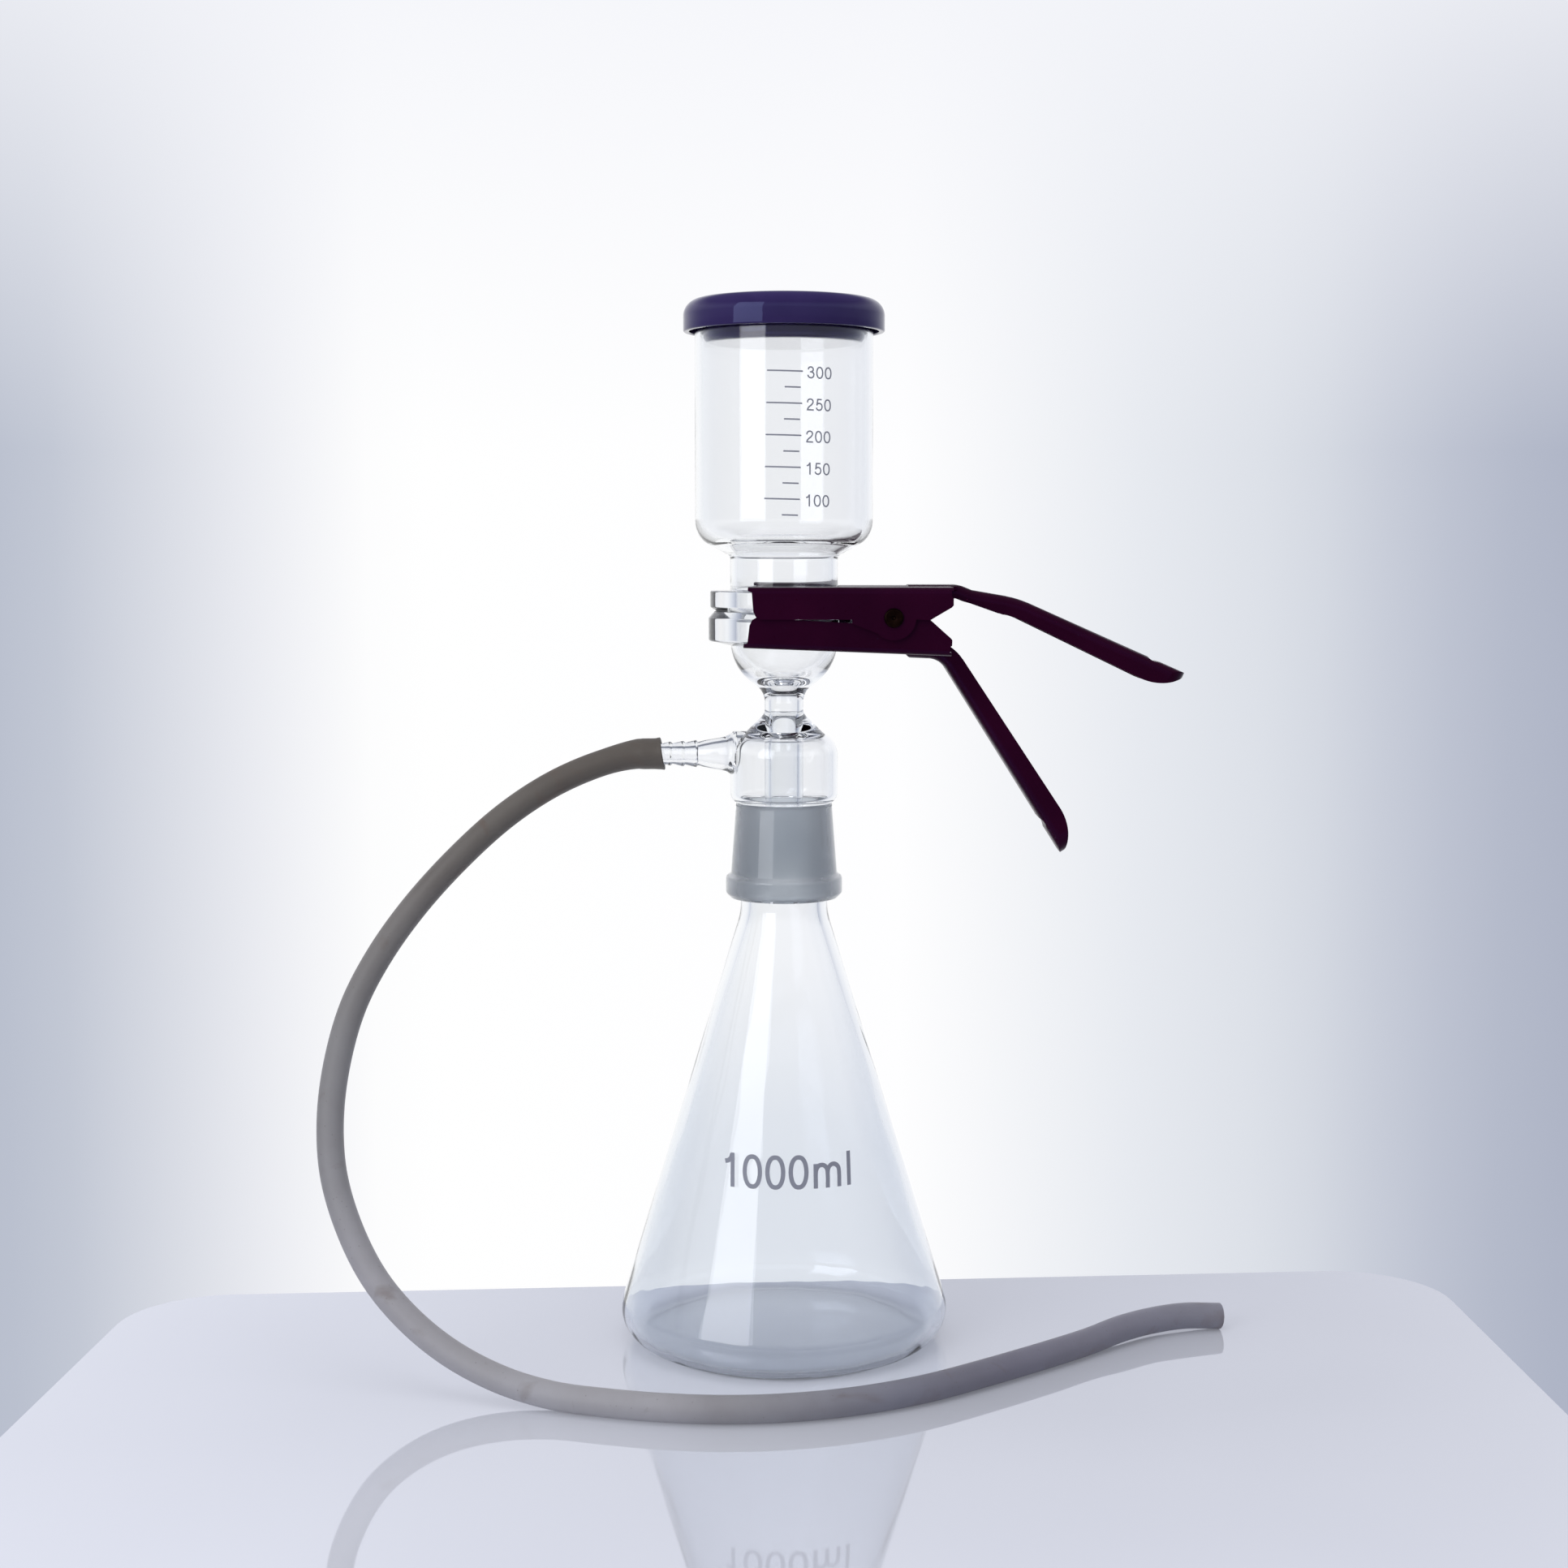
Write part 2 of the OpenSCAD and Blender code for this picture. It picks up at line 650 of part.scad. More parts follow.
// Raised root of a handle on its web, rounded off at the end next to the pivot
module handle_root(length, depth, rise) {
    intersection() {
        folded_run(handle_w, depth, handle_fold, length);
        rotate([90, 0, 0])
        linear_extrude(handle_w + cut, center = true)
        union() {
            translate([rise, -rise])
            circle(rise);
            translate([rise, -depth])
            square([length, depth]);
            translate([0, -depth])
            square([length, depth - rise]);
        }
    }
}

module clamp_upper_half() {
    overhang = 2.5;
    root_l = tail_l + overhang - handle_start;
    apex = [apex_x, -1];
    color([0.12, 0.07, 0.13])
    translate([pivot_x, 0, pivot_z]) {
        half_body(outer_half_w, upper_web, fork_end, cup_slot_r)
        cheek_outline(upper_web, fork_end, upper_edge, upper_edge, apex, 0.59);
        translate([handle_start, 0, upper_web + upper_rise]) {
            handle_root(root_l + lap, upper_root_depth, upper_rise);
            translate([root_l, 0, 0])
            upper_handle();
        }
    }
}

// Moves on to the end of a bend, and turns with it. up = towards the web's side
module past_bend(radius, angle, up = false) {
    side = up ? 1 : -1;
    translate([radius * sin(angle), 0, side * radius * (1 - cos(angle))])
    rotate([0, -side * angle, 0])
    children();
}

// Upper handle behind its root: a short drop, a flatter neck and the blade
module upper_handle() {
    drop = 22;
    drop_r = 8;
    drop_l = 3.6;
    folded_bend(upper_root_depth, drop_r, drop, false);
    past_bend(drop_r, drop) {
        translate([-lap, 0, 0])
        folded_run(handle_w, upper_root_depth, handle_fold, drop_l + 2 * lap);
        translate([drop_l, 0, 0]) {
            mirror([0, 0, 1])
            folded_bend(upper_root_depth, drop_r, drop - neck_fall, true);
            past_bend(drop_r, drop - neck_fall, up = true) {
                handle_neck();
                translate([neck_l, 0, 0]) {
                    folded_bend(upper_depth, upper_bend_r, upper_fall - neck_fall, false);
                    past_bend(upper_bend_r, upper_fall - neck_fall)
                    handle_blade(upper_l, upper_depth);
                }
            }
        }
    }
}

// Straight neck whose sides grow deeper
module handle_neck() {
    intersection() {
        translate([-lap, 0, 0])
        folded_run(handle_w, handle_depth, handle_fold, neck_l + 2 * lap);
        rotate([90, 0, 0])
        linear_extrude(handle_w + cut, center = true)
        polygon([[-cut, cut], [-cut, -upper_root_depth], [lap, -upper_root_depth],
                 [neck_l - lap, -upper_depth], [neck_l + cut, -upper_depth],
                 [neck_l + cut, cut]]);
    }
}

module clamp_lower_half() {
    // Drawn web upwards like the upper half, then turned over and toed in
    turn = lower_fall - jaw_toe;
    root_l = lower_bend_x - handle_start;
    reach = fork_end + lower_longer;
    near = slit_w - upper_edge + slit_l * sin(jaw_toe);
    far = near - (reach - slit_l) * sin(jaw_toe) / 2;
    apex = [apex_x, 0];
    color([0.12, 0.07, 0.13])
    translate([pivot_x, 0, pivot_z])
    rotate([0, jaw_toe, 0])
    mirror([0, 0, 1]) {
        half_body(inner_half_w, lower_web, reach, head_slot_r)
        cheek_outline(lower_web, reach, near, far, apex, 0.826);
        translate([handle_start, 0, lower_web + lower_rise]) {
            handle_root(root_l + lap, lower_root_depth, lower_rise);
            translate([root_l, 0, 0]) {
                mirror([0, 0, 1])
                folded_bend(lower_root_depth, lower_bend_r, turn, true);
                past_bend(lower_bend_r, turn, up = true)
                handle_blade(lower_l, lower_root_depth);
            }
        }
    }
}

module clamp_pin() {
    color([0.35, 0.25, 0.2])
    translate([pivot_x, 0, pivot_z])
    rotate([90, 0, 0]) {
        cylinder(d = pin_d, h = outer_half_w, center = true);
        for (side = [0, 1])
        mirror([0, 0, side])
        translate([0, 0, outer_half_w / 2])
        cylinder(d = rivet_d, h = rivet_t);
    }
}

// Rings of points round a path. Y is never along the path, so it fixes their turn
function rings(path, radii, sides) =
    [for (k = [0 : len(path) - 1])
        let (t = unit(path[min(k + 1, len(path) - 1)] - path[max(k - 1, 0)]),
             u = unit(cross(t, [0, 1, 0.02])),
             v = cross(u, t))
        for (i = [0 : sides - 1])
            path[k] + radii[k] * (cos(360 * i / sides) * u + sin(360 * i / sides) * v)];

// Quads between neighbouring rings, first point index given
function ring_faces(count, sides, first) =
    [for (k = [0 : count - 2], i = [0 : sides - 1])
        let (a = first + k * sides + i, b = first + k * sides + (i + 1) % sides)
        [a, b, b + sides, a + sides]];

// Torsion spring: a coil round the pin and two legs that press the webs apart
module clamp_spring() {
    r = pin_d / 2 + coil_gap + wire_d / 2;
    pitch = wire_d + 0.1;
    steps = 14;
    width = turns * pitch;
    leg_gap = 0.15;
    up = upper_web - sheet_t - wire_d / 2 - leg_gap;
    down = lower_web - sheet_t - wire_d / 2 - 4 * leg_gap - leg_l * tan(jaw_toe);
    coil = [for (i = [0 : turns * steps])
        let (a = 90 + 360 * i / steps)
        [r * cos(a), -width / 2 + pitch * i / steps, r * sin(a)]];
    half_turn = [for (i = [1 : steps / 2])
        let (a = 90 + 360 * i / steps)
        [r * cos(a), width / 2 + pitch * i / steps, r * sin(a)]];
    path = concat([[leg_l, -width / 2 - 0.5, up]], coil, half_turn,
                  [[leg_l, width / 2 + pitch / 2 + 0.5, -down]]);
    sides = 6;
    color([0.55, 0.55, 0.57])
    translate([pivot_x, 0, pivot_z])
    solid_wire(path, wire_d / 2, sides);
}

// Wire of round section along a path whose turns lie in planes across Y
module solid_wire(path, r, sides) {
    n = len(path);
    points = [for (k = [0 : n - 1])
        let (t = unit(path[min(k + 1, n - 1)] - path[max(k - 1, 0)]),
             u = unit(cross(t, [0, 1, 0])),
             v = cross(u, t))
        for (i = [0 : sides - 1])
            path[k] + r * (cos(360 * i / sides) * u + sin(360 * i / sides) * v)];
    polyhedron(points = points,
               faces = concat(ring_faces(n, sides, 0),
                              [[for (i = [sides - 1 : -1 : 0]) i]],
                              [[for (i = [0 : sides - 1]) (n - 1) * sides + i]]));
}

module vacuum_hose() {
    sides = 10;
    mouth = [[-52, 0, arm_z]];
    path = concat(mouth, hose_points);
    n = len(path);
    outer = concat([hose_mouth_d / 2, hose_mouth_d / 2 - 0.6], [for (k = [2 : n - 1]) hose_d / 2]);
    inner = [for (r = outer) r - hose_wall];
    color([0.6, 0.58, 0.57])
    polyhedron(
        points = concat(rings(path, outer, sides), rings(path, inner, sides)),
        faces = concat(
            ring_faces(n, sides, 0),
            [for (f = ring_faces(n, sides, n * sides)) reversed(f)],
            [for (i = [0 : sides - 1]) let (j = (i + 1) % sides, m = n * sides)
                [i, m + i, m + j, j]],
            [for (i = [0 : sides - 1]) let (j = (i + 1) % sides, a = (n - 1) * sides, m = n * sides + a)
                [a + j, m + j, m + i, a + i]]));
}

flask();
filter_head();
sintered_disc();
filter_cup();
lid();
clamp_upper_half();
clamp_lower_half();
clamp_pin();
clamp_spring();
vacuum_hose();
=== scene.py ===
import math

import bmesh
import bpy
from mathutils import Matrix, Vector


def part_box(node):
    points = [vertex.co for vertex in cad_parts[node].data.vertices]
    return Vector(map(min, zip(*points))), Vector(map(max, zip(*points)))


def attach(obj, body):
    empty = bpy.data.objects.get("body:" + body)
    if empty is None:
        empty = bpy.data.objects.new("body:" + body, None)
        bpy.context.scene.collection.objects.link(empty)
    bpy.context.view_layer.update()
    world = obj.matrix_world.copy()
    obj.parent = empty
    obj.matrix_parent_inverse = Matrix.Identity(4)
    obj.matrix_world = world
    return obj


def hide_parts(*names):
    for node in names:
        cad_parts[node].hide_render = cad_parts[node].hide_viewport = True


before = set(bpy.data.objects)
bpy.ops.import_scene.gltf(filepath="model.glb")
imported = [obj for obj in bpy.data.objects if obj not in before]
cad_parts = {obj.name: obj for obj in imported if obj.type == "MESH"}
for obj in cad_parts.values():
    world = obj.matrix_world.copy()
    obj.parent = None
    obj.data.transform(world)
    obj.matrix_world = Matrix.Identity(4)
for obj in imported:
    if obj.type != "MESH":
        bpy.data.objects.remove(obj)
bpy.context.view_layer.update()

scene = bpy.context.scene
MM = 0.001


# ---- Camera -------------------------------------------------------------------------------
# It stands a metre in front of the unit, at the height of the cup's floor, and looks
# slightly down.
camera_data = bpy.data.cameras.new("camera")
camera_data.lens = 54.97
camera_data.sensor_width = 36.0
camera = bpy.data.objects.new("camera", camera_data)
camera.location = (0.0, -1.018, 0.3392)
camera.rotation_euler = (math.radians(84.46), 0.0, 0.0)
scene.collection.objects.link(camera)
scene.camera = camera
scene.view_settings.view_transform = "Standard"
# Light passes up to ten glass walls on its way through the ground joint
scene.cycles.max_bounces = 28
scene.cycles.transmission_bounces = 28
scene.cycles.glossy_bounces = 8


# ---- Vacuum hose --------------------------------------------------------------------------
# A length of grey silicone rubber tube, extruded, dusty from use. One end is stretched over
# the barbs of the side arm, the other lies open on the table.
HOSE_R, HOSE_WALL, HOSE_SIDES = 5.6, 2.1, 40
# Over the barbs it is stretched wider, further on it narrows to its own size. Its mouth
# flares a little
STRETCH, BARBED_L, STRETCHED_L = 1.0, 8.0, 26.0
LIP, LIP_L = 0.35, 4.0
# The ends are cut with a knife and their edges are rubbed. The mouth is cut askew, so its
# lower edge reaches further along the arm
CUT_EDGE, CUT_DEPTH = 0.35, 0.3
MOUTH_SKEW, SKEWED_RINGS = -0.14, 4
ROUTE_STEPS, MOUTH_STEPS = 8, 24
HOSE_ROUTE = [
    (-52, 0, 253.5), (-62, 0, 253.4), (-78, -2, 249.5), (-98, -5, 241), (-118, -9, 228),
    (-138, -15, 210), (-156, -21, 190), (-170, -27, 170), (-180, -32, 150),
    (-186, -38, 127), (-188, -44, 105), (-186, -50, 84), (-179, -57, 64), (-168, -64, 45),
    (-154, -71, 30.5), (-136, -79, 18.5), (-114, -88, 10), (-92, -96, 6.1),
    (-70, -103, 5.6), (-46, -108.5, 5.6), (-21, -110.5, 5.6), (4, -108, 5.6),
    (30, -100.5, 5.6), (56, -87.5, 5.6), (84, -67, 5.6), (113, -43.5, 5.6),
    (130, -28.5, 5.6), (145, -15.5, 6.6), (160, -4.5, 6.6), (175, 2, 6.6), (191, 5, 5.6),
]


def linear(code):
    """Linear RGBA of an sRGB hex colour"""
    parts = [int(code[i : i + 2], 16) / 255 for i in (1, 3, 5)]
    return [c / 12.92 if c <= 0.04045 else ((c + 0.055) / 1.055) ** 2.4 for c in parts] + [1.0]


def add(tree, kind, inputs=None, **settings):
    """Adds a shader node with its settings; an input is a value or another node's output"""
    made = tree.nodes.new(kind)
    for name, value in settings.items():
        setattr(made, name, value)
    for name, value in (inputs or {}).items():
        socket = made.inputs[name]
        if isinstance(value, bpy.types.NodeSocket):
            tree.links.new(value, socket)
        else:
            socket.default_value = value
    return made


def per_metre(size_mm):
    """Scale of a pattern whose features are the given size"""
    return 1000.0 / size_mm


def noise(tree, where, size_mm, detail, **inputs):
    """A noise pattern with features of about the given size"""
    inputs.update(Vector=where, Scale=per_metre(size_mm), Detail=detail)
    return add(tree, "ShaderNodeTexNoise", inputs).outputs["Fac"]


def cells(tree, where, size_mm):
    """Distance from the middle of scattered cells of about the given size"""
    inputs = {"Vector": where, "Scale": per_metre(size_mm)}
    return add(tree, "ShaderNodeTexVoronoi", inputs).outputs["Distance"]


def grade(tree, value, low=0.0, high=1.0, start=0.0, stop=1.0):
    """Turns a value's run from low to high into one from start to stop"""
    return add(tree, "ShaderNodeMapRange", {
        "Value": value, "From Min": low, "From Max": high, "To Min": start, "To Max": stop,
    }).outputs["Result"]


def toned(tree, value, *stops):
    """Colours a value; the stops are (position, sRGB hex) pairs"""
    made = add(tree, "ShaderNodeValToRGB", {"Fac": value})
    band = made.color_ramp
    while len(band.elements) < len(stops):
        band.elements.new(0.5)
    for element, (place, code) in zip(band.elements, stops):
        element.position = place
        element.color = linear(code)
    return made.outputs["Color"]


def blend(tree, factor, first, second, blend_type="MIX"):
    """Mixes two colours"""
    return add(
        tree, "ShaderNodeMix", {"Factor": factor, "A": first, "B": second},
        data_type="RGBA", blend_type=blend_type,
    ).outputs["Result"]


def bump(tree, relief, depth_mm, strength):
    """Normal of a surface with a fine relief of the given depth"""
    inputs = {"Height": relief, "Distance": depth_mm * MM, "Strength": strength}
    return add(tree, "ShaderNodeBump", inputs).outputs["Normal"]


def principled(tree, inputs):
    """Ends a material in one principled surface"""
    shader = add(tree, "ShaderNodeBsdfPrincipled", inputs)
    add(tree, "ShaderNodeOutputMaterial", {"Surface": shader.outputs["BSDF"]})


def new_material(name):
    """An empty material, its tree and its pattern coordinates in metres"""
    made = bpy.data.materials.new(name)
    made.use_nodes = True
    tree = made.node_tree
    tree.nodes.clear()
    return made, tree, add(tree, "ShaderNodeTexCoord").outputs["Object"]


def new_piece(name, mesh, *materials):
    """Links a mesh as a piece of the unit, shaded smooth up to 32 degrees"""
    for material in materials:
        mesh.materials.append(material)
    for polygon in mesh.polygons:
        polygon.use_smooth = True
    mesh.set_sharp_from_angle(angle=math.radians(32))
    made = bpy.data.objects.new(name, mesh)
    scene.collection.objects.link(made)
    return made


def smooth_route(points, steps):
    """Points of a centripetal curve through the given points, in mm"""
    points = [Vector(p) for p in points]
    ends = [2 * points[0] - points[1], *points, 2 * points[-1] - points[-2]]
    found = []
    for a, b, c, d in zip(ends, ends[1:], ends[2:], ends[3:]):
        t = [0.0]
        for p, q in ((a, b), (b, c), (c, d)):
            t.append(t[-1] + (q - p).length ** 0.5)
        for i in range(steps):
            s = t[1] + (t[2] - t[1]) * i / steps
            lines = [
                p.lerp(q, (s - t[k]) / (t[k + 1] - t[k]))
                for k, (p, q) in enumerate(((a, b), (b, c), (c, d)))
            ]
            curves = [lines[k].lerp(lines[k + 1], (s - t[k]) / (t[k + 2] - t[k])) for k in (0, 1)]
            found.append(curves[0].lerp(curves[1], (s - t[1]) / (t[2] - t[1])))
    return [*found, points[-1]]


def swept(bm, path, radii, sides):
    """Rings of a round bar along a path, in metres; returns the rings"""
    rings, side = [], None
    for k, point in enumerate(path):
        along = (path[min(k + 1, len(path) - 1)] - path[max(k - 1, 0)]).normalized()
        if side is None:
            side = along.cross(Vector((0, 1, 0.02))).normalized()
        side = (side - along * side.dot(along)).normalized()
        other = along.cross(side)
        rings.append([
            bm.verts.new(
                (point + radii[k] * (math.cos(a) * side + math.sin(a) * other)) * MM
            )
            for a in (2 * math.pi * i / sides for i in range(sides))
        ])
    return rings


def joined(bm, rings, closed=False):
    """Faces between neighbouring rings, each ring closed on itself"""
    pairs = list(zip(rings, rings[1:])) + ([(rings[-1], rings[0])] if closed else [])
    for low, high in pairs:
        n = len(low)
        for i in range(n):
            bm.faces.new((low[i], low[(i + 1) % n], high[(i + 1) % n], high[i]))


def finished(bm, name):
    """Mesh of a bmesh, its faces turned outwards"""
    bmesh.ops.recalc_face_normals(bm, faces=bm.faces)
    mesh = bpy.data.meshes.new(name)
    bm.to_mesh(mesh)
    bm.free()
    return mesh


def hose_radius(run):
    """Outer radius at a distance from the stretched mouth"""
    if run > STRETCHED_L:
        return HOSE_R
    fall = min(1.0, max(0.0, (run - BARBED_L) / (STRETCHED_L - BARBED_L)))
    lip = LIP * max(0.0, 1 - run / LIP_L) ** 2
    return HOSE_R + STRETCH * (1 - fall) ** 1.5 + lip


hose_path = smooth_route(HOSE_ROUTE, ROUTE_STEPS)
hose_run = [0.0]
for before, after in zip(hose_path, hose_path[1:]):
    hose_run.append(hose_run[-1] + (after - before).length)

# The stretched end has closer rings, for its lip and its skewed cut
hose_line = [
    hose_path[0].lerp(hose_path[ROUTE_STEPS], i / MOUTH_STEPS) for i in range(MOUTH_STEPS)
] + hose_path[ROUTE_STEPS:]
run = 0.0
outer_radii = []
for k, point in enumerate(hose_line):
    run += (point - hose_line[k - 1]).length if k else 0.0
    outer_radii.append(hose_radius(run))
bm = bmesh.new()
outer = swept(bm, hose_line, outer_radii, HOSE_SIDES)
inner = swept(bm, hose_line, [r - HOSE_WALL for r in outer_radii], HOSE_SIDES)
ends = []
for index, neighbour in ((0, 1), (-1, -2)):
    point, r = hose_line[index], outer_radii[index]
    along = (point - hose_line[neighbour]).normalized()
    cut = (point + along * CUT_DEPTH) * MM
    ends.append([
        [bm.verts.new(cut + (v.co - point * MM) * (radius / r)) for v in outer[index]]
        for radius in (r - CUT_EDGE, r - HOSE_WALL + CUT_EDGE)
    ])
mouth = hose_line[0] * MM
for ring in (*outer[:SKEWED_RINGS], *inner[:SKEWED_RINGS], *ends[0]):
    for v in ring:
        v.co.x += MOUTH_SKEW * (v.co.z - mouth.z)
hose_rings = [ends[0][1], ends[0][0], *outer, ends[1][0], ends[1][1], *reversed(inner)]
joined(bm, hose_rings, closed=True)
hose_mesh = finished(bm, "vacuum hose")

# Silicone rubber: matt, slightly milky, with handling marks, dust and fine extrusion grain, and
# painted shade
rubber, tree, where = new_material("silicone rubber")
patches = noise(tree, where, 38, 4.0, Roughness=0.6)
mottle = toned(tree, patches, (0.3, "#EAE8E6"), (0.7, "#FFFFFF"))
# Painted shade: darker and browner higher up, where the hose is lit only from behind, and
# cooler grey, darkest mid-way, along the part that lies on the bench
spot = add(tree, "ShaderNodeSeparateXYZ", {"Vector": where}).outputs
painted_shade_by_height = toned(
    tree, grade(tree, spot["Z"], 0.0, 0.26),
    (0.0, "#B2B1B6"), (0.17, "#B4B2B7"), (0.3, "#A6A5A9"), (0.5, "#9B9A9C"),
    (0.73, "#868280"), (0.86, "#75706B"), (1.0, "#68615A"),
)
painted_shade_on_bench = toned(
    tree, grade(tree, spot["X"], -0.05, 0.19),
    (0.0, "#ACAAB0"), (0.12, "#A2A1A6"), (0.4, "#858592"), (0.6, "#817F8E"),
    (0.8, "#8E8D9C"), (1.0, "#9797A4"),
)
# Painted shade by height on the hanging part, painted bench shade right of X = -40 mm
shade = blend(tree, grade(tree, spot["X"], -0.048, -0.03), painted_shade_by_height, painted_shade_on_bench)
tone = blend(tree, 1.0, shade, mottle, "MULTIPLY")
speck = grade(tree, cells(tree, where, 3.4), 0.06, 0.12, 0.35, 0.0)
dusty = blend(tree, speck, tone, linear("#6E6862"))
handled = noise(tree, where, 24, 5.0, Distortion=1.2)
dirty = blend(tree, grade(tree, handled, 0.58, 0.72, 0.0, 0.4), dusty, linear("#6A564A"))
principled(tree, {
    "Base Color": dirty, "Roughness": grade(tree, patches, 0.3, 0.7, 0.44, 0.62),
    "Normal": bump(tree, noise(tree, where, 0.7, 3.0), 0.12, 0.35),
    "IOR": 1.43, "Sheen Weight": 0.12, "Sheen Roughness": 0.5,
})

hose = new_piece("vacuum_hose_tube", hose_mesh, rubber)
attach(hose, "unit")
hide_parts("vacuum_hose")


# ---- Table, room and lamps ----------------------------------------------------------------
# A thin glossy pale sheet with rounded corners and a faint painted glow, in front of a white
# backdrop that falls off to the sides, lit by the room, two soft boxes and a scrim overhead.
SHEET_T = 3.0
TABLE = [(-330, -640), (330, -640), (302, 92), (-292, 50)]
TABLE_CORNER = 45.0
# Share of what meets the sheet that its gloss mirrors
GLOSS = 0.3


def filleted(corners, r, steps=12):
    """Rounds the corners [(x, y), ...] of a closed outline to the given radius"""
    found = []
    for k, corner in enumerate(corners):
        here = Vector(corner)
        back = (Vector(corners[k - 1]) - here).normalized()
        ahead = (Vector(corners[(k + 1) % len(corners)]) - here).normalized()
        half = back.angle(ahead) / 2
        centre = here + (back + ahead).normalized() * r / math.sin(half)
        start = here + back * r / math.tan(half) - centre
        stop = here + ahead * r / math.tan(half) - centre
        turn = start.angle_signed(stop)
        count = max(2, int(abs(math.degrees(turn)) / 90 * steps) + 1)
        for i in range(count + 1):
            a = -turn * i / count
            found.append((
                centre.x + start.x * math.cos(a) - start.y * math.sin(a),
                centre.y + start.x * math.sin(a) + start.y * math.cos(a),
            ))
    return found


bm = bmesh.new()
outline = filleted(TABLE, TABLE_CORNER)
top = bm.faces.new([bm.verts.new((x * MM, y * MM, 0.0)) for x, y in outline])
for part in bmesh.ops.extrude_face_region(bm, geom=[top])["geom"]:
    if isinstance(part, bmesh.types.BMVert):
        part.co.z = -SHEET_T * MM
table_mesh = finished(bm, "table")

gloss, tree, where = new_material("glossy acrylic sheet")
pale = toned(tree, noise(tree, where, 260, 2.0), (0.35, "#B4B6BE"), (0.65, "#BCBEC5"))
body = add(tree, "ShaderNodeBsdfDiffuse", {"Color": pale, "Roughness": 0.2})
# Painted glow: the sheet emits a pale light of its own, weakest round a spot right of the
# flask, where it paints shade
painted_shade_spot = (0.14, 0.0, 0.0)
away = add(tree, "ShaderNodeVectorMath", {0: where, 1: painted_shade_spot}, operation="DISTANCE")
painted_glow_strength = grade(tree, away.outputs["Value"], 0.1, 0.55, 0.2, 0.42)
painted_glow = add(tree, "ShaderNodeEmission", {"Color": linear("#EEF1FC"), "Strength": painted_glow_strength})
sheet = add(tree, "ShaderNodeAddShader", {
    0: body.outputs["BSDF"], 1: painted_glow.outputs["Emission"],
})
polish = grade(tree, noise(tree, where, 9, 3.0), start=0.02, stop=0.05)
shine = add(tree, "ShaderNodeBsdfGlossy", {"Color": linear("#EEF0FA"), "Roughness": polish})
mixed = add(tree, "ShaderNodeMixShader", {
    0: GLOSS, 1: sheet.outputs["Shader"], 2: shine.outputs["BSDF"],
})
add(tree, "ShaderNodeOutputMaterial", {"Surface": mixed.outputs["Shader"]})
table_mesh.materials.append(gloss)
table = bpy.data.objects.new("table", table_mesh)
scene.collection.objects.link(table)

# Colours of the room by bearing from straight behind the unit, in degrees: as a backdrop,
# and as what the glass bends and mirrors
BACKDROP = [
    (-180, "#8A8D96"), (-115, "#A4A8B2"), (-90, "#E4E8EF"), (-32, "#E4E8EF"), (-21, "#B4BACA"),
    (-17.5, "#BCC2D0"), (-12, "#EEEFF4"), (-9.5, "#FFFFFF"), (3, "#FEFEFF"), (8.4, "#E7EAF0"),
    (12, "#DADEE6"), (14.9, "#C1C6D4"), (17.6, "#B0B6C7"), (22, "#AAB0C2"), (33, "#CCD0DA"),
    (95, "#CCD0DA"), (120, "#A4A8B2"), (180, "#8A8D96"),
]
MIRRORED = [
    (-180, "#74777F"), (-125, "#7A7E89"), (-96, "#7E8494"), (-74, "#9BA2B4"), (-56, "#D6DBE6"),
    (-40, "#F6F8FB"), (-10, "#FFFFFF"), (6, "#FDFDFF"), (36, "#F0F2F7"), (52, "#C8CDDA"),
    (72, "#8E95A8"), (96, "#7A8090"), (125, "#787B86"), (180, "#74777F"),
]
room = bpy.data.worlds.new("room")
scene.world = room
room.use_nodes = True
tree = room.node_tree
tree.nodes.clear()
towards = add(tree, "ShaderNodeTexCoord").outputs["Generated"]
axes = add(tree, "ShaderNodeSeparateXYZ", {"Vector": towards}).outputs
bearing = add(tree, "ShaderNodeMath", {0: axes["X"], 1: axes["Y"]}, operation="ARCTAN2")
across = grade(tree, bearing.outputs["Value"], -math.pi, math.pi)
backdrop, around = (
    toned(tree, across, *(((turn + 180) / 360, code) for turn, code in stops))
    for stops in (BACKDROP, MIRRORED)
)
rays = add(tree, "ShaderNodeLightPath").outputs
wall = blend(tree, rays["Is Camera Ray"], around, backdrop)
# It is whiter above the horizon and greyer towards the ceiling. A height here is the sine of
# the angle above the horizon
lit = grade(tree, axes["Z"], 0.04, 0.24, 0.0, 0.9)
whiter = blend(tree, lit, wall, linear("#F4F5FA"))
covered = blend(tree, grade(tree, axes["Z"], 0.40, 0.62), whiter, linear("#7A7F8C"))
seen = add(tree, "ShaderNodeBackground", {"Color": covered, "Strength": 1.0})
# Matt surfaces are lit more from behind than from the front
glow = grade(tree, axes["Y"], -0.5, 0.6, 0.16, 0.75)
fill = add(tree, "ShaderNodeBackground", {"Color": linear("#F6F7FF"), "Strength": glow})
shown = rays["Is Camera Ray"]
for kind in ("Is Glossy Ray", "Is Transmission Ray"):
    either = add(tree, "ShaderNodeMath", {0: shown, 1: rays[kind]}, operation="MAXIMUM")
    shown = either.outputs["Value"]
both = add(tree, "ShaderNodeMixShader", {
    0: shown, 1: fill.outputs["Background"], 2: seen.outputs["Background"],
})
add(tree, "ShaderNodeOutputWorld", {"Surface": both.outputs["Shader"]})

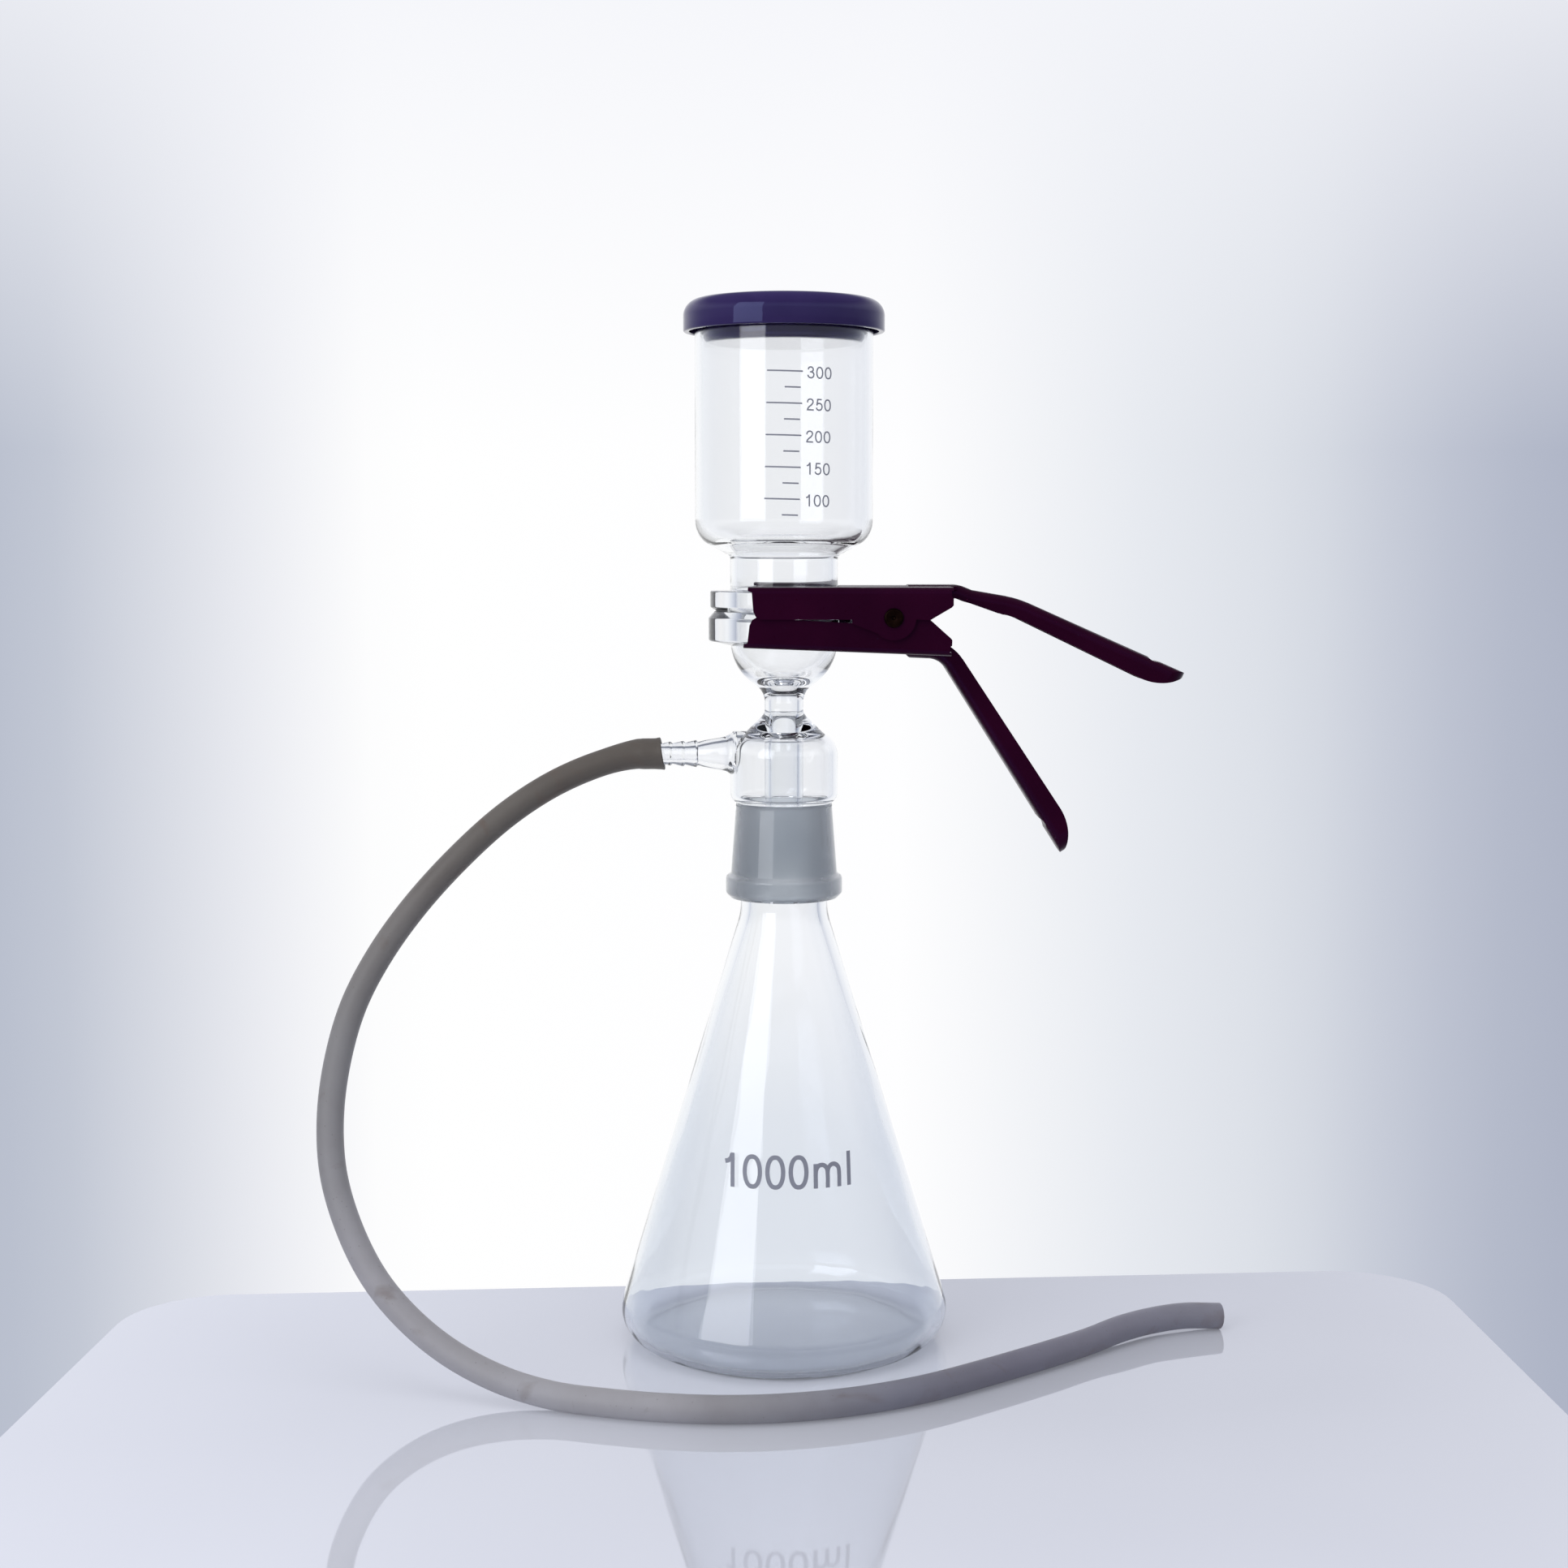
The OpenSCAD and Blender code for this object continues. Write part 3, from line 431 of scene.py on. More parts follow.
# Lamps: name, bearing from the front towards +X in degrees, distance, height, width, second
# side, power, and whether glass and table mirror it. The low ones stand upright
STANDING_BELOW = 1.0
for name, bearing, distance, height, width, tall, watts, mirrored in (
    ("soft box left", -41, 1.4, 0.85, 0.86, 1.3, 9.0, True),
    ("fill light right", 40, 1.6, 0.6, 0.9, 0.9, 1.5, False),
    ("overhead scrim", 10, 0.35, 1.5, 1.6, 1.6, 9.0, False),
):
    lamp = bpy.data.lights.new(name, "AREA")
    lamp.shape, lamp.size, lamp.size_y, lamp.energy = "RECTANGLE", width, tall, watts
    lamp.color = linear("#FBFCFF")[:3]
    box = bpy.data.objects.new(name, lamp)
    a = math.radians(bearing)
    box.location = (distance * math.sin(a), -distance * math.cos(a), height)
    if height < STANDING_BELOW:
        box.rotation_euler = (math.radians(90), 0, a)
    box.visible_camera = False
    box.visible_glossy = mirrored
    box.visible_transmission = mirrored
    scene.collection.objects.link(box)


# ---- Conical flask ------------------------------------------------------------------------
# Blown borosilicate glass with a ground outer cone on its neck. It stands on a ring round
# a slightly pushed-up foot.
FLASK_D, NECK_Z, NECK_D = 141.0, 190.0, 37.0
HEEL_R, SWELL_R, BEND_R = 12.5, 18.0, 30.0
FLASK_WALL, NECK_WALL = 2.4, 4.3
JOINT_Z, JOINT_TOP_Z, JOINT_R, JOINT_TOP_R = 194.5, 232.5, 20.0, 18.1
# Step from the neck out to the ground cone
JOINT_STEP = [(18.5, 191.6), (19.0, 193.2), (19.75, 194.2), (JOINT_R, 194.9)]
PUNT_H, PUNT_R = 1.6, 55.0
PUNT_RINGS = (0, 6, 12, 18, 24, 30, 36, 42, 46, 50, 53)
# Unevenness of the inner wall up to the neck: everywhere, and round the heel, with the
# height where it is most and how fast it fades. Its waves: how many round the flask, phase,
# height for each radian, share
WAVY_TOP_Z, WALL_WAVE, HEEL_WAVE, HEEL_WAVE_Z, HEEL_WAVE_H = 150, 0.07, 0.13, 14, 12
WAVES = ((9, 1.3, 17, 0.5), (16, 0.4, -9, 0.3), (31, 2.1, 6, 0.2))
GLASS_IOR = 1.473
SIDES = 224


def arc(r, z, radius, start, stop, steps=16):
    """Points (r, z) of an arc round (r, z), angles in degrees"""
    return [
        (r + radius * math.cos(a), z + radius * math.sin(a))
        for a in (math.radians(start + (stop - start) * i / steps) for i in range(steps + 1))
    ]


def split(points, longest):
    """Cuts long straight runs of an outline into steps"""
    found = []
    for (r, z), (s, y) in zip(points, points[1:]):
        steps = max(1, math.ceil(math.hypot(s - r, y - z) / longest))
        found += [(r + (s - r) * i / steps, z + (y - z) * i / steps) for i in range(steps)]
    return [*found, points[-1]]


def turned(outline, sides=SIDES, longest=8.0):
    """Mesh turned round the Z axis from an outline of (r, z) points in mm that closes on
    itself, or starts and ends on the axis"""
    bm = bmesh.new()
    on_axis = outline[0][0] < 1e-6 and outline[-1][0] < 1e-6
    outline = split(outline if on_axis else [*outline, outline[0]], longest)
    if not on_axis:
        outline = outline[:-1]
    turns = [2 * math.pi * i / sides for i in range(sides)]
    spins = [(math.cos(a), math.sin(a)) for a in turns]
    rings = []
    for r, z in outline:
        if r < 1e-6:
            rings.append([bm.verts.new((0, 0, z * MM))])
        else:
            rings.append([bm.verts.new((r * c * MM, r * s * MM, z * MM)) for c, s in spins])
    pairs = list(zip(rings, rings[1:])) + ([] if on_axis else [(rings[-1], rings[0])])
    for low, high in pairs:
        for i in range(sides):
            j = (i + 1) % sides
            if len(low) == 1:
                bm.faces.new((low[0], high[j], high[i]))
            elif len(high) == 1:
                bm.faces.new((low[i], low[j], high[0]))
            else:
                bm.faces.new((low[i], low[j], high[j], high[i]))
    return finished(bm, "turned")


def give(mesh, index, chosen):
    """Gives a material index to the faces whose centre (r, z) in mm the test accepts"""
    for polygon in mesh.polygons:
        c = polygon.center / MM
        if chosen(math.hypot(c.x, c.y), c.z):
            polygon.material_index = index


swell = Vector((FLASK_D / 2 - SWELL_R, HEEL_R))
bend = Vector((NECK_D / 2 + BEND_R, NECK_Z))


def cone_lean(low=0.0, high=0.0):
    """Angle of the straight side to the level, in radians; low and high are as below"""
    reach = bend - swell
    side = math.acos((SWELL_R - low + BEND_R + high) / reach.length)
    return math.atan2(reach.y, reach.x) - side


def flask_side(low, high):
    """Side from the foot to the neck, inside the outer face by low at the foot and by high
    at the neck"""
    lean = math.degrees(cone_lean(low, high))
    return (
        arc(FLASK_D / 2 - HEEL_R, HEEL_R, HEEL_R - low, -90, 0, 20)
        + arc(*swell, SWELL_R - low, lean / 12, lean, 12)
        + arc(*bend, BEND_R + high, 180 + lean, 180, 16)
    )


bore_r = NECK_D / 2 - NECK_WALL
foot = [(r, PUNT_H * (1 - (r / PUNT_R) ** 2) ** 2) for r in PUNT_RINGS]
flask_outline = (
    foot
    + flask_side(0, 0)
    + JOINT_STEP
    + arc(JOINT_TOP_R - 0.9, JOINT_TOP_Z - 1, 1.0, 3, 90, 6)
    + arc(bore_r + 1, JOINT_TOP_Z - 1, 1.0, 90, 180, 6)
    + flask_side(FLASK_WALL, NECK_WALL)[::-1]
    + [(r, z + FLASK_WALL) for r, z in reversed(foot)]
)
flask_mesh = turned(flask_outline)

# The blown inner wall below the neck runs unevenly, most of all round the heel
for v in flask_mesh.vertices:
    r, z = math.hypot(v.co.x, v.co.y) / MM, v.co.z / MM
    a = math.atan2(v.co.y, v.co.x)
    inner = v.normal.x * v.co.x + v.normal.y * v.co.y < -0.05 * r * MM
    if inner and z < WAVY_TOP_Z:
        wave = sum(math.sin(n * a + phase + z / rise) * share for n, phase, rise, share in WAVES)
        depth = HEEL_WAVE * math.exp(-((z - HEEL_WAVE_Z) / HEEL_WAVE_H) ** 2) + WALL_WAVE
        v.co.x *= 1 + depth * wave / r
        v.co.y *= 1 + depth * wave / r

# Borosilicate glass: clear and fire-polished, faintly wavy from blowing, with thin smears.
# The flask's wide body is blown from a slightly greyer gather
clear_glass, tree, where = new_material("borosilicate glass")
height = add(tree, "ShaderNodeSeparateXYZ", {"Vector": where}).outputs["Z"]
gather = grade(tree, height, 0.085, 0.165)
principled(tree, {
    "Base Color": toned(tree, gather, (0.0, "#F1F4F8"), (1.0, "#FCFDFE")),
    "Roughness": grade(tree, noise(tree, where, 16, 3.0), 0.55, 0.8, 0.0, 0.05),
    "IOR": GLASS_IOR, "Transmission Weight": 1.0,
    "Normal": bump(tree, noise(tree, where, 42, 1.0), 0.6, 0.12),
})

# Ground glass: the same glass, ground with grit, so it scatters light and looks grey. The
# grinding is finer towards the top of the joint
ground_glass, tree, where = new_material("ground glass")
grit = noise(tree, where, 0.5, 4.0)
tone = toned(tree, noise(tree, where, 14, 2.0), (0.3, "#DBE0E4"), (0.7, "#E5E9ED"))
height = add(tree, "ShaderNodeSeparateXYZ", {"Vector": where}).outputs["Z"]
finer = grade(tree, height, 0.204, 0.232)
principled(tree, {
    "Base Color": blend(tree, finer, tone, linear("#EFF2F5")),
    "Roughness": grade(tree, grit, start=0.5, stop=0.75),
    "IOR": GLASS_IOR, "Transmission Weight": 1.0, "Normal": bump(tree, grit, 0.1, 0.3),
})

flask = new_piece("conical_flask", flask_mesh, clear_glass, ground_glass)
give(flask_mesh, 1, lambda r, z: z > JOINT_Z + 0.1 and r > bore_r + 1.2)
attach(flask, "unit")
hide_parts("flask")

# Fired enamel print: matt grey, slightly grainy
enamel, tree, where = new_material("fired enamel print")
grain = noise(tree, where, 0.35, 3.0)
principled(tree, {
    "Base Color": toned(tree, grain, (0.3, "#8F92A0"), (0.7, "#9C9FAC")),
    "Roughness": grade(tree, grain, start=0.45, stop=0.65),
    "Normal": bump(tree, grain, 0.04, 0.3),
})

# Middle lines of the strokes, with the width each letter takes; a numeral is 1 high
OVAL = [
    (0.25 * math.copysign(abs(math.cos(a)) ** 0.84, math.cos(a)), 0.5 + 0.44 * math.sin(a))
    for a in (math.radians(12 * i) for i in range(31))
]
ARCH = [
    (-0.4, 0.42), (-0.37, 0.57), (-0.27, 0.67), (-0.14, 0.67), (-0.03, 0.58), (0, 0.44), (0, 0),
]
LETTERS = {
    "0": (0.74, [OVAL]),
    "1": (0.74, [
        [(0.07, 0), (0.07, 1)],
        [(-0.2, 0.735), (-0.09, 0.76), (0.0, 0.83), (0.04, 0.96)],
    ]),
    "2": (0.74, [
        [(-0.24, 0.66), (-0.2, 0.83), (-0.1, 0.92), (0.02, 0.94), (0.15, 0.9), (0.22, 0.78),
         (0.2, 0.63), (0.1, 0.49), (-0.06, 0.35), (-0.18, 0.22), (-0.24, 0.04)],
        [(-0.29, 0.06), (0.28, 0.06)],
    ]),
    "3": (0.74, [
        [(-0.22, 0.72), (-0.18, 0.86), (-0.05, 0.94), (0.1, 0.91), (0.18, 0.8), (0.17, 0.66),
         (0.07, 0.56), (-0.08, 0.54)],
        [(-0.08, 0.54), (0.08, 0.53), (0.21, 0.44), (0.24, 0.29), (0.18, 0.14), (0.05, 0.06),
         (-0.1, 0.07), (-0.21, 0.16), (-0.25, 0.3)],
    ]),
    "5": (0.74, [
        [(-0.16, 0.94), (0.22, 0.94)],
        [(-0.12, 0.99), (-0.19, 0.44)],
        [(-0.21, 0.5), (-0.12, 0.59), (0.02, 0.62), (0.16, 0.57), (0.24, 0.43), (0.23, 0.25),
         (0.13, 0.1), (-0.02, 0.06), (-0.17, 0.12), (-0.24, 0.26)],
    ]),
    "m": (1.16, [[(-0.4, 0), (-0.4, 0.72)], ARCH, [(x + 0.4, y) for x, y in ARCH]]),
    "l": (0.36, [[(0, 0), (0, 1)]]),
}
LETTER_GAP = 0.2
# How far the print's faces stand off the glass, how much higher each next stroke of a letter
# lies, and the longest step along a stroke, in mm
PRINT_UNDER, PRINT_TOP, STROKE_RISE, STROKE_STEP = 0.02, 0.06, 0.003, 0.6


def printed(bm, line, weight, place, rise=0.0):
    """Closed thin strip of print along a flat line in mm; a line back to its start is a ring"""
    ring = (line[0] - line[-1]).length < 1e-6
    line = line[:-1] if ring else line
    last = len(line) - 1
    rows = []
    for i, point in enumerate(line):
        if ring:
            ahead = line[(i + 1) % len(line)] - line[i - 1]
        else:
            ahead = line[min(i + 1, last)] - line[max(i - 1, 0)]
        side = Vector((-ahead.y, ahead.x)).normalized() * weight / 2
        rows.append([
            bm.verts.new(place(*(point + side * way), lift + rise)) for way, lift in (
                (-1, PRINT_UNDER), (-1, PRINT_TOP), (1, PRINT_TOP), (1, PRINT_UNDER),
            )
        ])
    joined(bm, rows, ring)
    if not ring:
        bm.faces.new(rows[0])
        bm.faces.new(reversed(rows[-1]))


def lettering(text, height, width, weight, place):
    """Mesh of a printed word: its size and the width of its strokes in mm. place(u, v, lift)
    gives the point for a spot on the flat print: u from its middle, v from its foot"""
    bm = bmesh.new()
    total = sum(LETTERS[letter][0] for letter in text)
    stretch = width / (total - LETTER_GAP)
    at = -total / 2
    for letter in text:
        advance, lines = LETTERS[letter]
        for k, line in enumerate(lines):
            flat = [Vector(((at + advance / 2 + x) * stretch, y * height)) for x, y in line]
            if len(flat) == 2:
                steps = math.ceil((flat[1] - flat[0]).length / STROKE_STEP)
                flat = [flat[0].lerp(flat[1], i / steps) for i in range(steps + 1)]
            elif line is not OVAL:
                flat = [point.xy for point in smooth_route([(*point, 0) for point in flat], 4)]
            printed(bm, flat, weight, place, STROKE_RISE * k)
        at += advance
    return finished(bm, "print")


# The capacity stands on the front of the cone, half-way up
CAPACITY_H, CAPACITY_W, CAPACITY_T, CAPACITY_TURN, CAPACITY_Z = 13.9, 56.0, 1.85, 0.03, 77.4
flask_lean = cone_lean()
cone_foot = swell + SWELL_R * Vector((math.cos(flask_lean), math.sin(flask_lean)))


def on_flask(turn, z_foot):
    """Places flat print on the cone of the flask, turned round the axis, its foot at z_foot"""

    def place(u, v, lift):
        z = z_foot + v * math.cos(flask_lean)
        r = cone_foot.x - (z - cone_foot.y) * math.tan(flask_lean) + lift
        a = turn + u / r
        return Vector((r * math.sin(a), -r * math.cos(a), z)) * MM

    return place


capacity_mesh = lettering(
    "1000ml", CAPACITY_H, CAPACITY_W, CAPACITY_T, on_flask(CAPACITY_TURN, CAPACITY_Z),
)
capacity = new_piece("capacity_print", capacity_mesh, enamel)
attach(capacity, "unit")


# ---- Filter head --------------------------------------------------------------------------
# Lamp-blown glass: a ground socket with a bead, a bulb with a barbed side arm, a drip tube
# through the bulb, and a bowl with a ground flange on top.
BEAD_Z, SOCKET_Z, BULB_Z, STEM_Z, BOWL_Z = 192.0, 202.0, 231.5, 269.5, 302.0
HEAD_TOP_Z, HEAD_UNDER_Z, ARM_Z, DRIP_Z = 314.0, 301.5, 253.5, 208.5
BULB_R, DOME_R, FOOT_R, HEAD_WALL = 22.9, 10.0, 5.0, 2.3
STEM_R, STEM_BORE_R, STEM_BEND_R, BOWL_R, FRIT_R = 8.2, 5.8, 9.0, 22.7, 20.3
CONE_H, BOWL_DEPTH, FUNNEL_R, FUNNEL_H = 6.5, 17.6, 2.2, 2.4
MOUTH_R, SOCKET_TOP_R, SOCKET_R, BEAD_R = 20.1, 18.2, 22.6, 24.9
FLANGE_R, HEAD_CHAMFER = 32.0, 2.4
# Fold where the tube is sealed into the dome of the bulb
SEAL_FOLD = [(16.4, 262.75), (15.9, 263.2)]
ARM_REACH, ARM_ROOT_R, ARM_R, ARM_SIDES = 62.0, 7.0, 5.1, 96
BARBS, BARB_PITCH, BARB_H, BARB_UNDERCUT, BARB_TAPER = 5, 5.5, 0.7, 0.35, 0.33
# The arm's bore, as radius and distance from the unit's axis: a cone, then a plain bore. It
# starts in the bulb, clear of the drip tube
ARM_BORE = [
    (0, STEM_R + 3), (6.9, STEM_R + 3),
    (6.9, 20.0), (6.1, 20.9), (5.5, 22.2), (5.1, 24.0), (4.7, 27.0), (4.2, 30.5), (3.6, 33.5),
    (3.0, 36.0), (2.65, 38.2), (2.5, 40.5), (2.5, 61.0), (2.9, 61.8), (2.9, 63.0), (0, 63.0),
]

foot_z = BULB_Z + FOOT_R + 0.5
dome_z = STEM_Z - DOME_R - CONE_H
foot_turn = math.degrees(math.acos(1 - (BULB_R - SOCKET_TOP_R - HEAD_WALL) / FOOT_R))
dome_turn = 68
bend_r = STEM_R + STEM_BEND_R
bend_z = BOWL_Z - math.sqrt((BOWL_R + STEM_BEND_R) ** 2 - bend_r ** 2)
bend_a = math.degrees(math.atan2(BOWL_Z - bend_z, -bend_r))
# From the mouth's edge round the bead, then socket, bulb, tube, bowl and flange
head_outside = (
    arc(MOUTH_R + 1.2, BEAD_Z + 0.6, 0.6, 180, 270, 5)
    + arc(BEAD_R - 2.6, BEAD_Z + 1.2, 1.2, -90, -40, 5)
    + arc(BEAD_R - 1.8, BEAD_Z + 2.9, 1.8, -35, 0, 5)
    + arc(BEAD_R - 1.6, SOCKET_Z - 1.9, 1.6, 0, 70, 6)
    + [(SOCKET_R + 0.1, SOCKET_Z + 0.6), (SOCKET_R, SOCKET_Z + 1.4)]
    + [(SOCKET_TOP_R + HEAD_WALL, BULB_Z - 0.2)]
    + arc(BULB_R - FOOT_R, foot_z, FOOT_R, -foot_turn, 0, 10)
    + arc(BULB_R - DOME_R, dome_z, DOME_R, 0, dome_turn, 18)[:-1]
    + SEAL_FOLD
    + arc(STEM_R + 4, STEM_Z + 3, 4, 225, 180, 10)
    + arc(bend_r, bend_z, STEM_BEND_R, 180, bend_a, 14)
    + arc(0, BOWL_Z, BOWL_R, bend_a - 180, -6, 30)
    + arc(FLANGE_R - 1.2, HEAD_UNDER_Z + 1.2, 1.2, -90, 0, 6)
    + arc(FLANGE_R - 0.8, HEAD_TOP_Z - HEAD_CHAMFER - 0.6, 0.8, 0, 45, 4)
    + [(FLANGE_R - HEAD_CHAMFER, HEAD_TOP_Z)]
)
socket_inside = [(MOUTH_R + 0.6, BEAD_Z + 0.8), (MOUTH_R, JOINT_Z), (SOCKET_TOP_R, JOINT_TOP_Z)]
bulb_inside = (
    arc(BULB_R - FOOT_R, foot_z, FOOT_R - HEAD_WALL, -foot_turn, 0, 8)
    + arc(BULB_R - DOME_R, dome_z, DOME_R - HEAD_WALL, 0, dome_turn, 14)
    + arc(STEM_R + 1.5, dome_z + DOME_R - 0.6 * HEAD_WALL - 1.7, 1.5, 80, 180, 7)
    + arc(STEM_R - 1, DRIP_Z + 1, 1, 0, -90, 5)
)
# The bowl's hollow is flatter than its outside and rounds over into the tube's bore
funnel_edge = STEM_BORE_R + FUNNEL_R
bowl_bottom = math.acos(funnel_edge / FRIT_R)
lip_z = BOWL_Z - BOWL_DEPTH * math.sin(bowl_bottom)
bowl_inside = [
    (funnel_edge - FUNNEL_R * math.cos(a), lip_z - 2.6 + FUNNEL_H * math.sin(a))
    for a in (math.radians(9 * i) for i in range(9))
] + [
    (FRIT_R * math.cos(a), BOWL_Z - BOWL_DEPTH * math.sin(a))
    for a in (bowl_bottom * (1 - i / 30) for i in range(31))
]


def solid(name, outline, sides=SIDES):
    """A turned solid for cutting and joining, not yet a piece"""
    made = bpy.data.objects.new(name, turned(outline, sides, 1.4))
    scene.collection.objects.link(made)
    return made


def combine(base, other, operation):
    """Joins another solid to the base, or cuts it away, and drops the other"""
    step = base.modifiers.new(operation, "BOOLEAN")
    step.operation, step.object, step.solver = operation, other, "MANIFOLD"
    result = base.evaluated_get(bpy.context.evaluated_depsgraph_get())
    mesh = bpy.data.meshes.new_from_object(result)
    base.modifiers.clear()
    base.data = mesh
    bpy.data.objects.remove(other)


# The arm along its own axis: a rounded root, a cone, and barbs each smaller than the last
first_barb = ARM_REACH - BARBS * BARB_PITCH + 2.8
arm_outline = [(0, 0.0), (ARM_ROOT_R + 2.6, 0.0), (ARM_ROOT_R + 2.6, BULB_R - 3.4)]
arm_outline += [(ARM_ROOT_R + 3.0 - inwards, BULB_R + out) for inwards, out in (
    (0.4, -1.4), (1.2, -0.2), (2.0, 0.9), (2.6, 2.2), (3.0, 3.8),
)]
arm_outline += [
    (ARM_R + 0.55, first_barb - 3.0), (ARM_R, first_barb - 1.2), (ARM_R - 0.1, first_barb - 0.5),
]
for i in range(BARBS):
    at = first_barb + i * BARB_PITCH
    peak = ARM_R + BARB_H - i * BARB_TAPER
    root = peak - BARB_H - BARB_UNDERCUT
    arm_outline += [
        (peak - 0.12, at), (peak, at + 0.25), (peak - 0.1, at + 0.7),
        (root + 0.12, min(at + BARB_PITCH - 1.3, ARM_REACH - 0.5)),
        (root, min(at + BARB_PITCH - 0.75, ARM_REACH - 0.1)),
    ]
arm_outline = [p for p in arm_outline if p[1] < ARM_REACH - 0.05] + [
    (arm_outline[-1][0] - 0.5, ARM_REACH), (0, ARM_REACH),
]
arm_place = Matrix.Translation((0, 0, ARM_Z * MM)) @ Matrix.Rotation(math.radians(-90), 4, "Y")

# Outer body without its hollow, joined to the arm, then hollowed
whole = solid("head", [(0, BEAD_Z)] + head_outside + [(0, HEAD_TOP_Z)])
arm = solid("arm", arm_outline, ARM_SIDES)
arm.matrix_world = arm_place
combine(whole, arm, "UNION")
hollow = (
    [(0, BEAD_Z - 3), (MOUTH_R + 0.6, BEAD_Z - 3)] + socket_inside + bulb_inside + [(0, DRIP_Z)]
)
combine(whole, solid("hollow", hollow), "DIFFERENCE")
bore = [
    (0, DRIP_Z - 2), (STEM_BORE_R + 0.6, DRIP_Z - 2), (STEM_BORE_R + 0.5, DRIP_Z),
    (STEM_BORE_R, DRIP_Z + 0.6), *bowl_inside, (FRIT_R, HEAD_TOP_Z + 2), (0, HEAD_TOP_Z + 2),
]
combine(whole, solid("bore", bore), "DIFFERENCE")
arm_bore = solid("arm bore", ARM_BORE, ARM_SIDES)
arm_bore.matrix_world = arm_place
combine(whole, arm_bore, "DIFFERENCE")
head_mesh = whole.data
bpy.data.objects.remove(whole)
head_mesh.materials.clear()
head = new_piece("filter_head_glass", head_mesh, clear_glass, ground_glass)
for polygon in head_mesh.polygons:
    polygon.material_index = 0
give(head_mesh, 1, lambda r, z: (
    (JOINT_Z - 2 < z < JOINT_TOP_Z - 0.2 and SOCKET_TOP_R - 0.1 < r < MOUTH_R + 0.4)
    or (z > HEAD_TOP_Z - 0.01 and r < FLANGE_R - 2)
))
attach(head, "unit")
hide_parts("filter_head")


# ---- Sintered disc ------------------------------------------------------------------------
# Coarse glass powder sintered to a white porous disc and fused into the bowl, level with
# the ground flange.
FRIT_T, FRIT_PLAY, FRIT_EDGE = 4.2, 0.05, 0.3
frit_edge_r = FRIT_R - FRIT_PLAY - FRIT_EDGE
frit_outline = (
    [(0, HEAD_TOP_Z - FRIT_T)]
    + arc(frit_edge_r, HEAD_TOP_Z - FRIT_T + FRIT_EDGE, FRIT_EDGE, -90, 0, 4)
    + arc(frit_edge_r, HEAD_TOP_Z - FRIT_EDGE, FRIT_EDGE, 0, 90, 4)
    + [(0, HEAD_TOP_Z)]
)
porous, tree, where = new_material("sintered glass")
grains = cells(tree, where, 0.9)
principled(tree, {
    "Base Color": toned(tree, grains, (0.0, "#F7F8F9"), (0.7, "#DFE2E6")),
    "Roughness": grade(tree, grains, start=0.6, stop=0.85), "IOR": 1.47,
    "Normal": bump(tree, grains, 0.2, 0.7), "Subsurface Weight": 0.25,
    "Subsurface Radius": (MM, MM, MM), "Subsurface Scale": 1.0,
})
disc = new_piece("sintered_filter_disc", turned(frit_outline, 128, 2.0), porous)
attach(disc, "unit")
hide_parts("sintered_disc")


# ---- Graduated cup ------------------------------------------------------------------------
# A blown glass funnel cup: a straight graduated wall, a rounded shoulder, a sloping floor,
# an outlet and a thick flange with a ground foot.
CUP_Z, CUP_FLANGE_TOP_Z, CUP_RIM_Z = 314.2, 322.9, 440.8
CUP_R, CUP_BORE_R, OUTLET_R, OUTLET_WALL, CUP_FLANGE_R = 37.5, 35.2, 22.8, 2.5, 31.3
SHOULDER_R, SHOULDER_Z, FLOOR_SLOPE = 12.0, 352.3, 27.0
RIM_ROUND, FLANGE_ROUND, FLANGE_ROOT = 0.9, 0.8, 0.5
# Hollow bend from the outlet to the floor, outside and inside, and how much thicker than
# the wall the floor is
BEND_OUTSIDE, BEND_INSIDE, FLOOR_LIFT = 2.2, 5.0, 0.8


def cup_side(wall, neck_r, bend_out, lift=0.0):
    """One face from the outlet to the rim: how far inside the outer face it is, the outlet's
    and the bend's radius, and how much it is lifted"""
    r = SHOULDER_R - wall
    centre = (CUP_R - SHOULDER_R, SHOULDER_Z + lift)
    slope = math.radians(FLOOR_SLOPE)
    low = (centre[0] + r * math.sin(slope), centre[1] - r * math.cos(slope))
    turn_r = neck_r + bend_out
    turn_z = low[1] - (low[0] - turn_r) * math.tan(slope) - bend_out / math.cos(slope)
    return (
        arc(turn_r, turn_z, bend_out, 180, 90 + FLOOR_SLOPE, 10)
        + arc(*centre, r, FLOOR_SLOPE - 90, 0, 22)
    )


outlet_bore_r = OUTLET_R - OUTLET_WALL
cup_outline = (
    [(outlet_bore_r + 0.4, CUP_Z), (CUP_FLANGE_R - 2.7, CUP_Z)]
    + arc(CUP_FLANGE_R - FLANGE_ROUND, CUP_Z + 2.2, FLANGE_ROUND, -45, 0, 4)
    + arc(CUP_FLANGE_R - FLANGE_ROUND, CUP_FLANGE_TOP_Z - FLANGE_ROUND, FLANGE_ROUND, 0, 90, 6)
    + arc(OUTLET_R + FLANGE_ROOT, CUP_FLANGE_TOP_Z + FLANGE_ROOT, FLANGE_ROOT, 270, 180, 5)
    + cup_side(0, OUTLET_R, BEND_OUTSIDE)
    + arc(CUP_R - RIM_ROUND, CUP_RIM_Z - RIM_ROUND, RIM_ROUND, 0, 90, 6)
    + arc(CUP_BORE_R + RIM_ROUND, CUP_RIM_Z - RIM_ROUND, RIM_ROUND, 90, 180, 6)
    + cup_side(CUP_R - CUP_BORE_R, outlet_bore_r, BEND_INSIDE, FLOOR_LIFT)[::-1]
    + [(outlet_bore_r, CUP_Z + 0.4)]
)
cup_mesh = turned(cup_outline)
cup = new_piece("graduated_cup", cup_mesh, clear_glass, ground_glass)
give(cup_mesh, 1, lambda r, z: z < CUP_Z + 0.05 and r > OUTLET_R - 2)
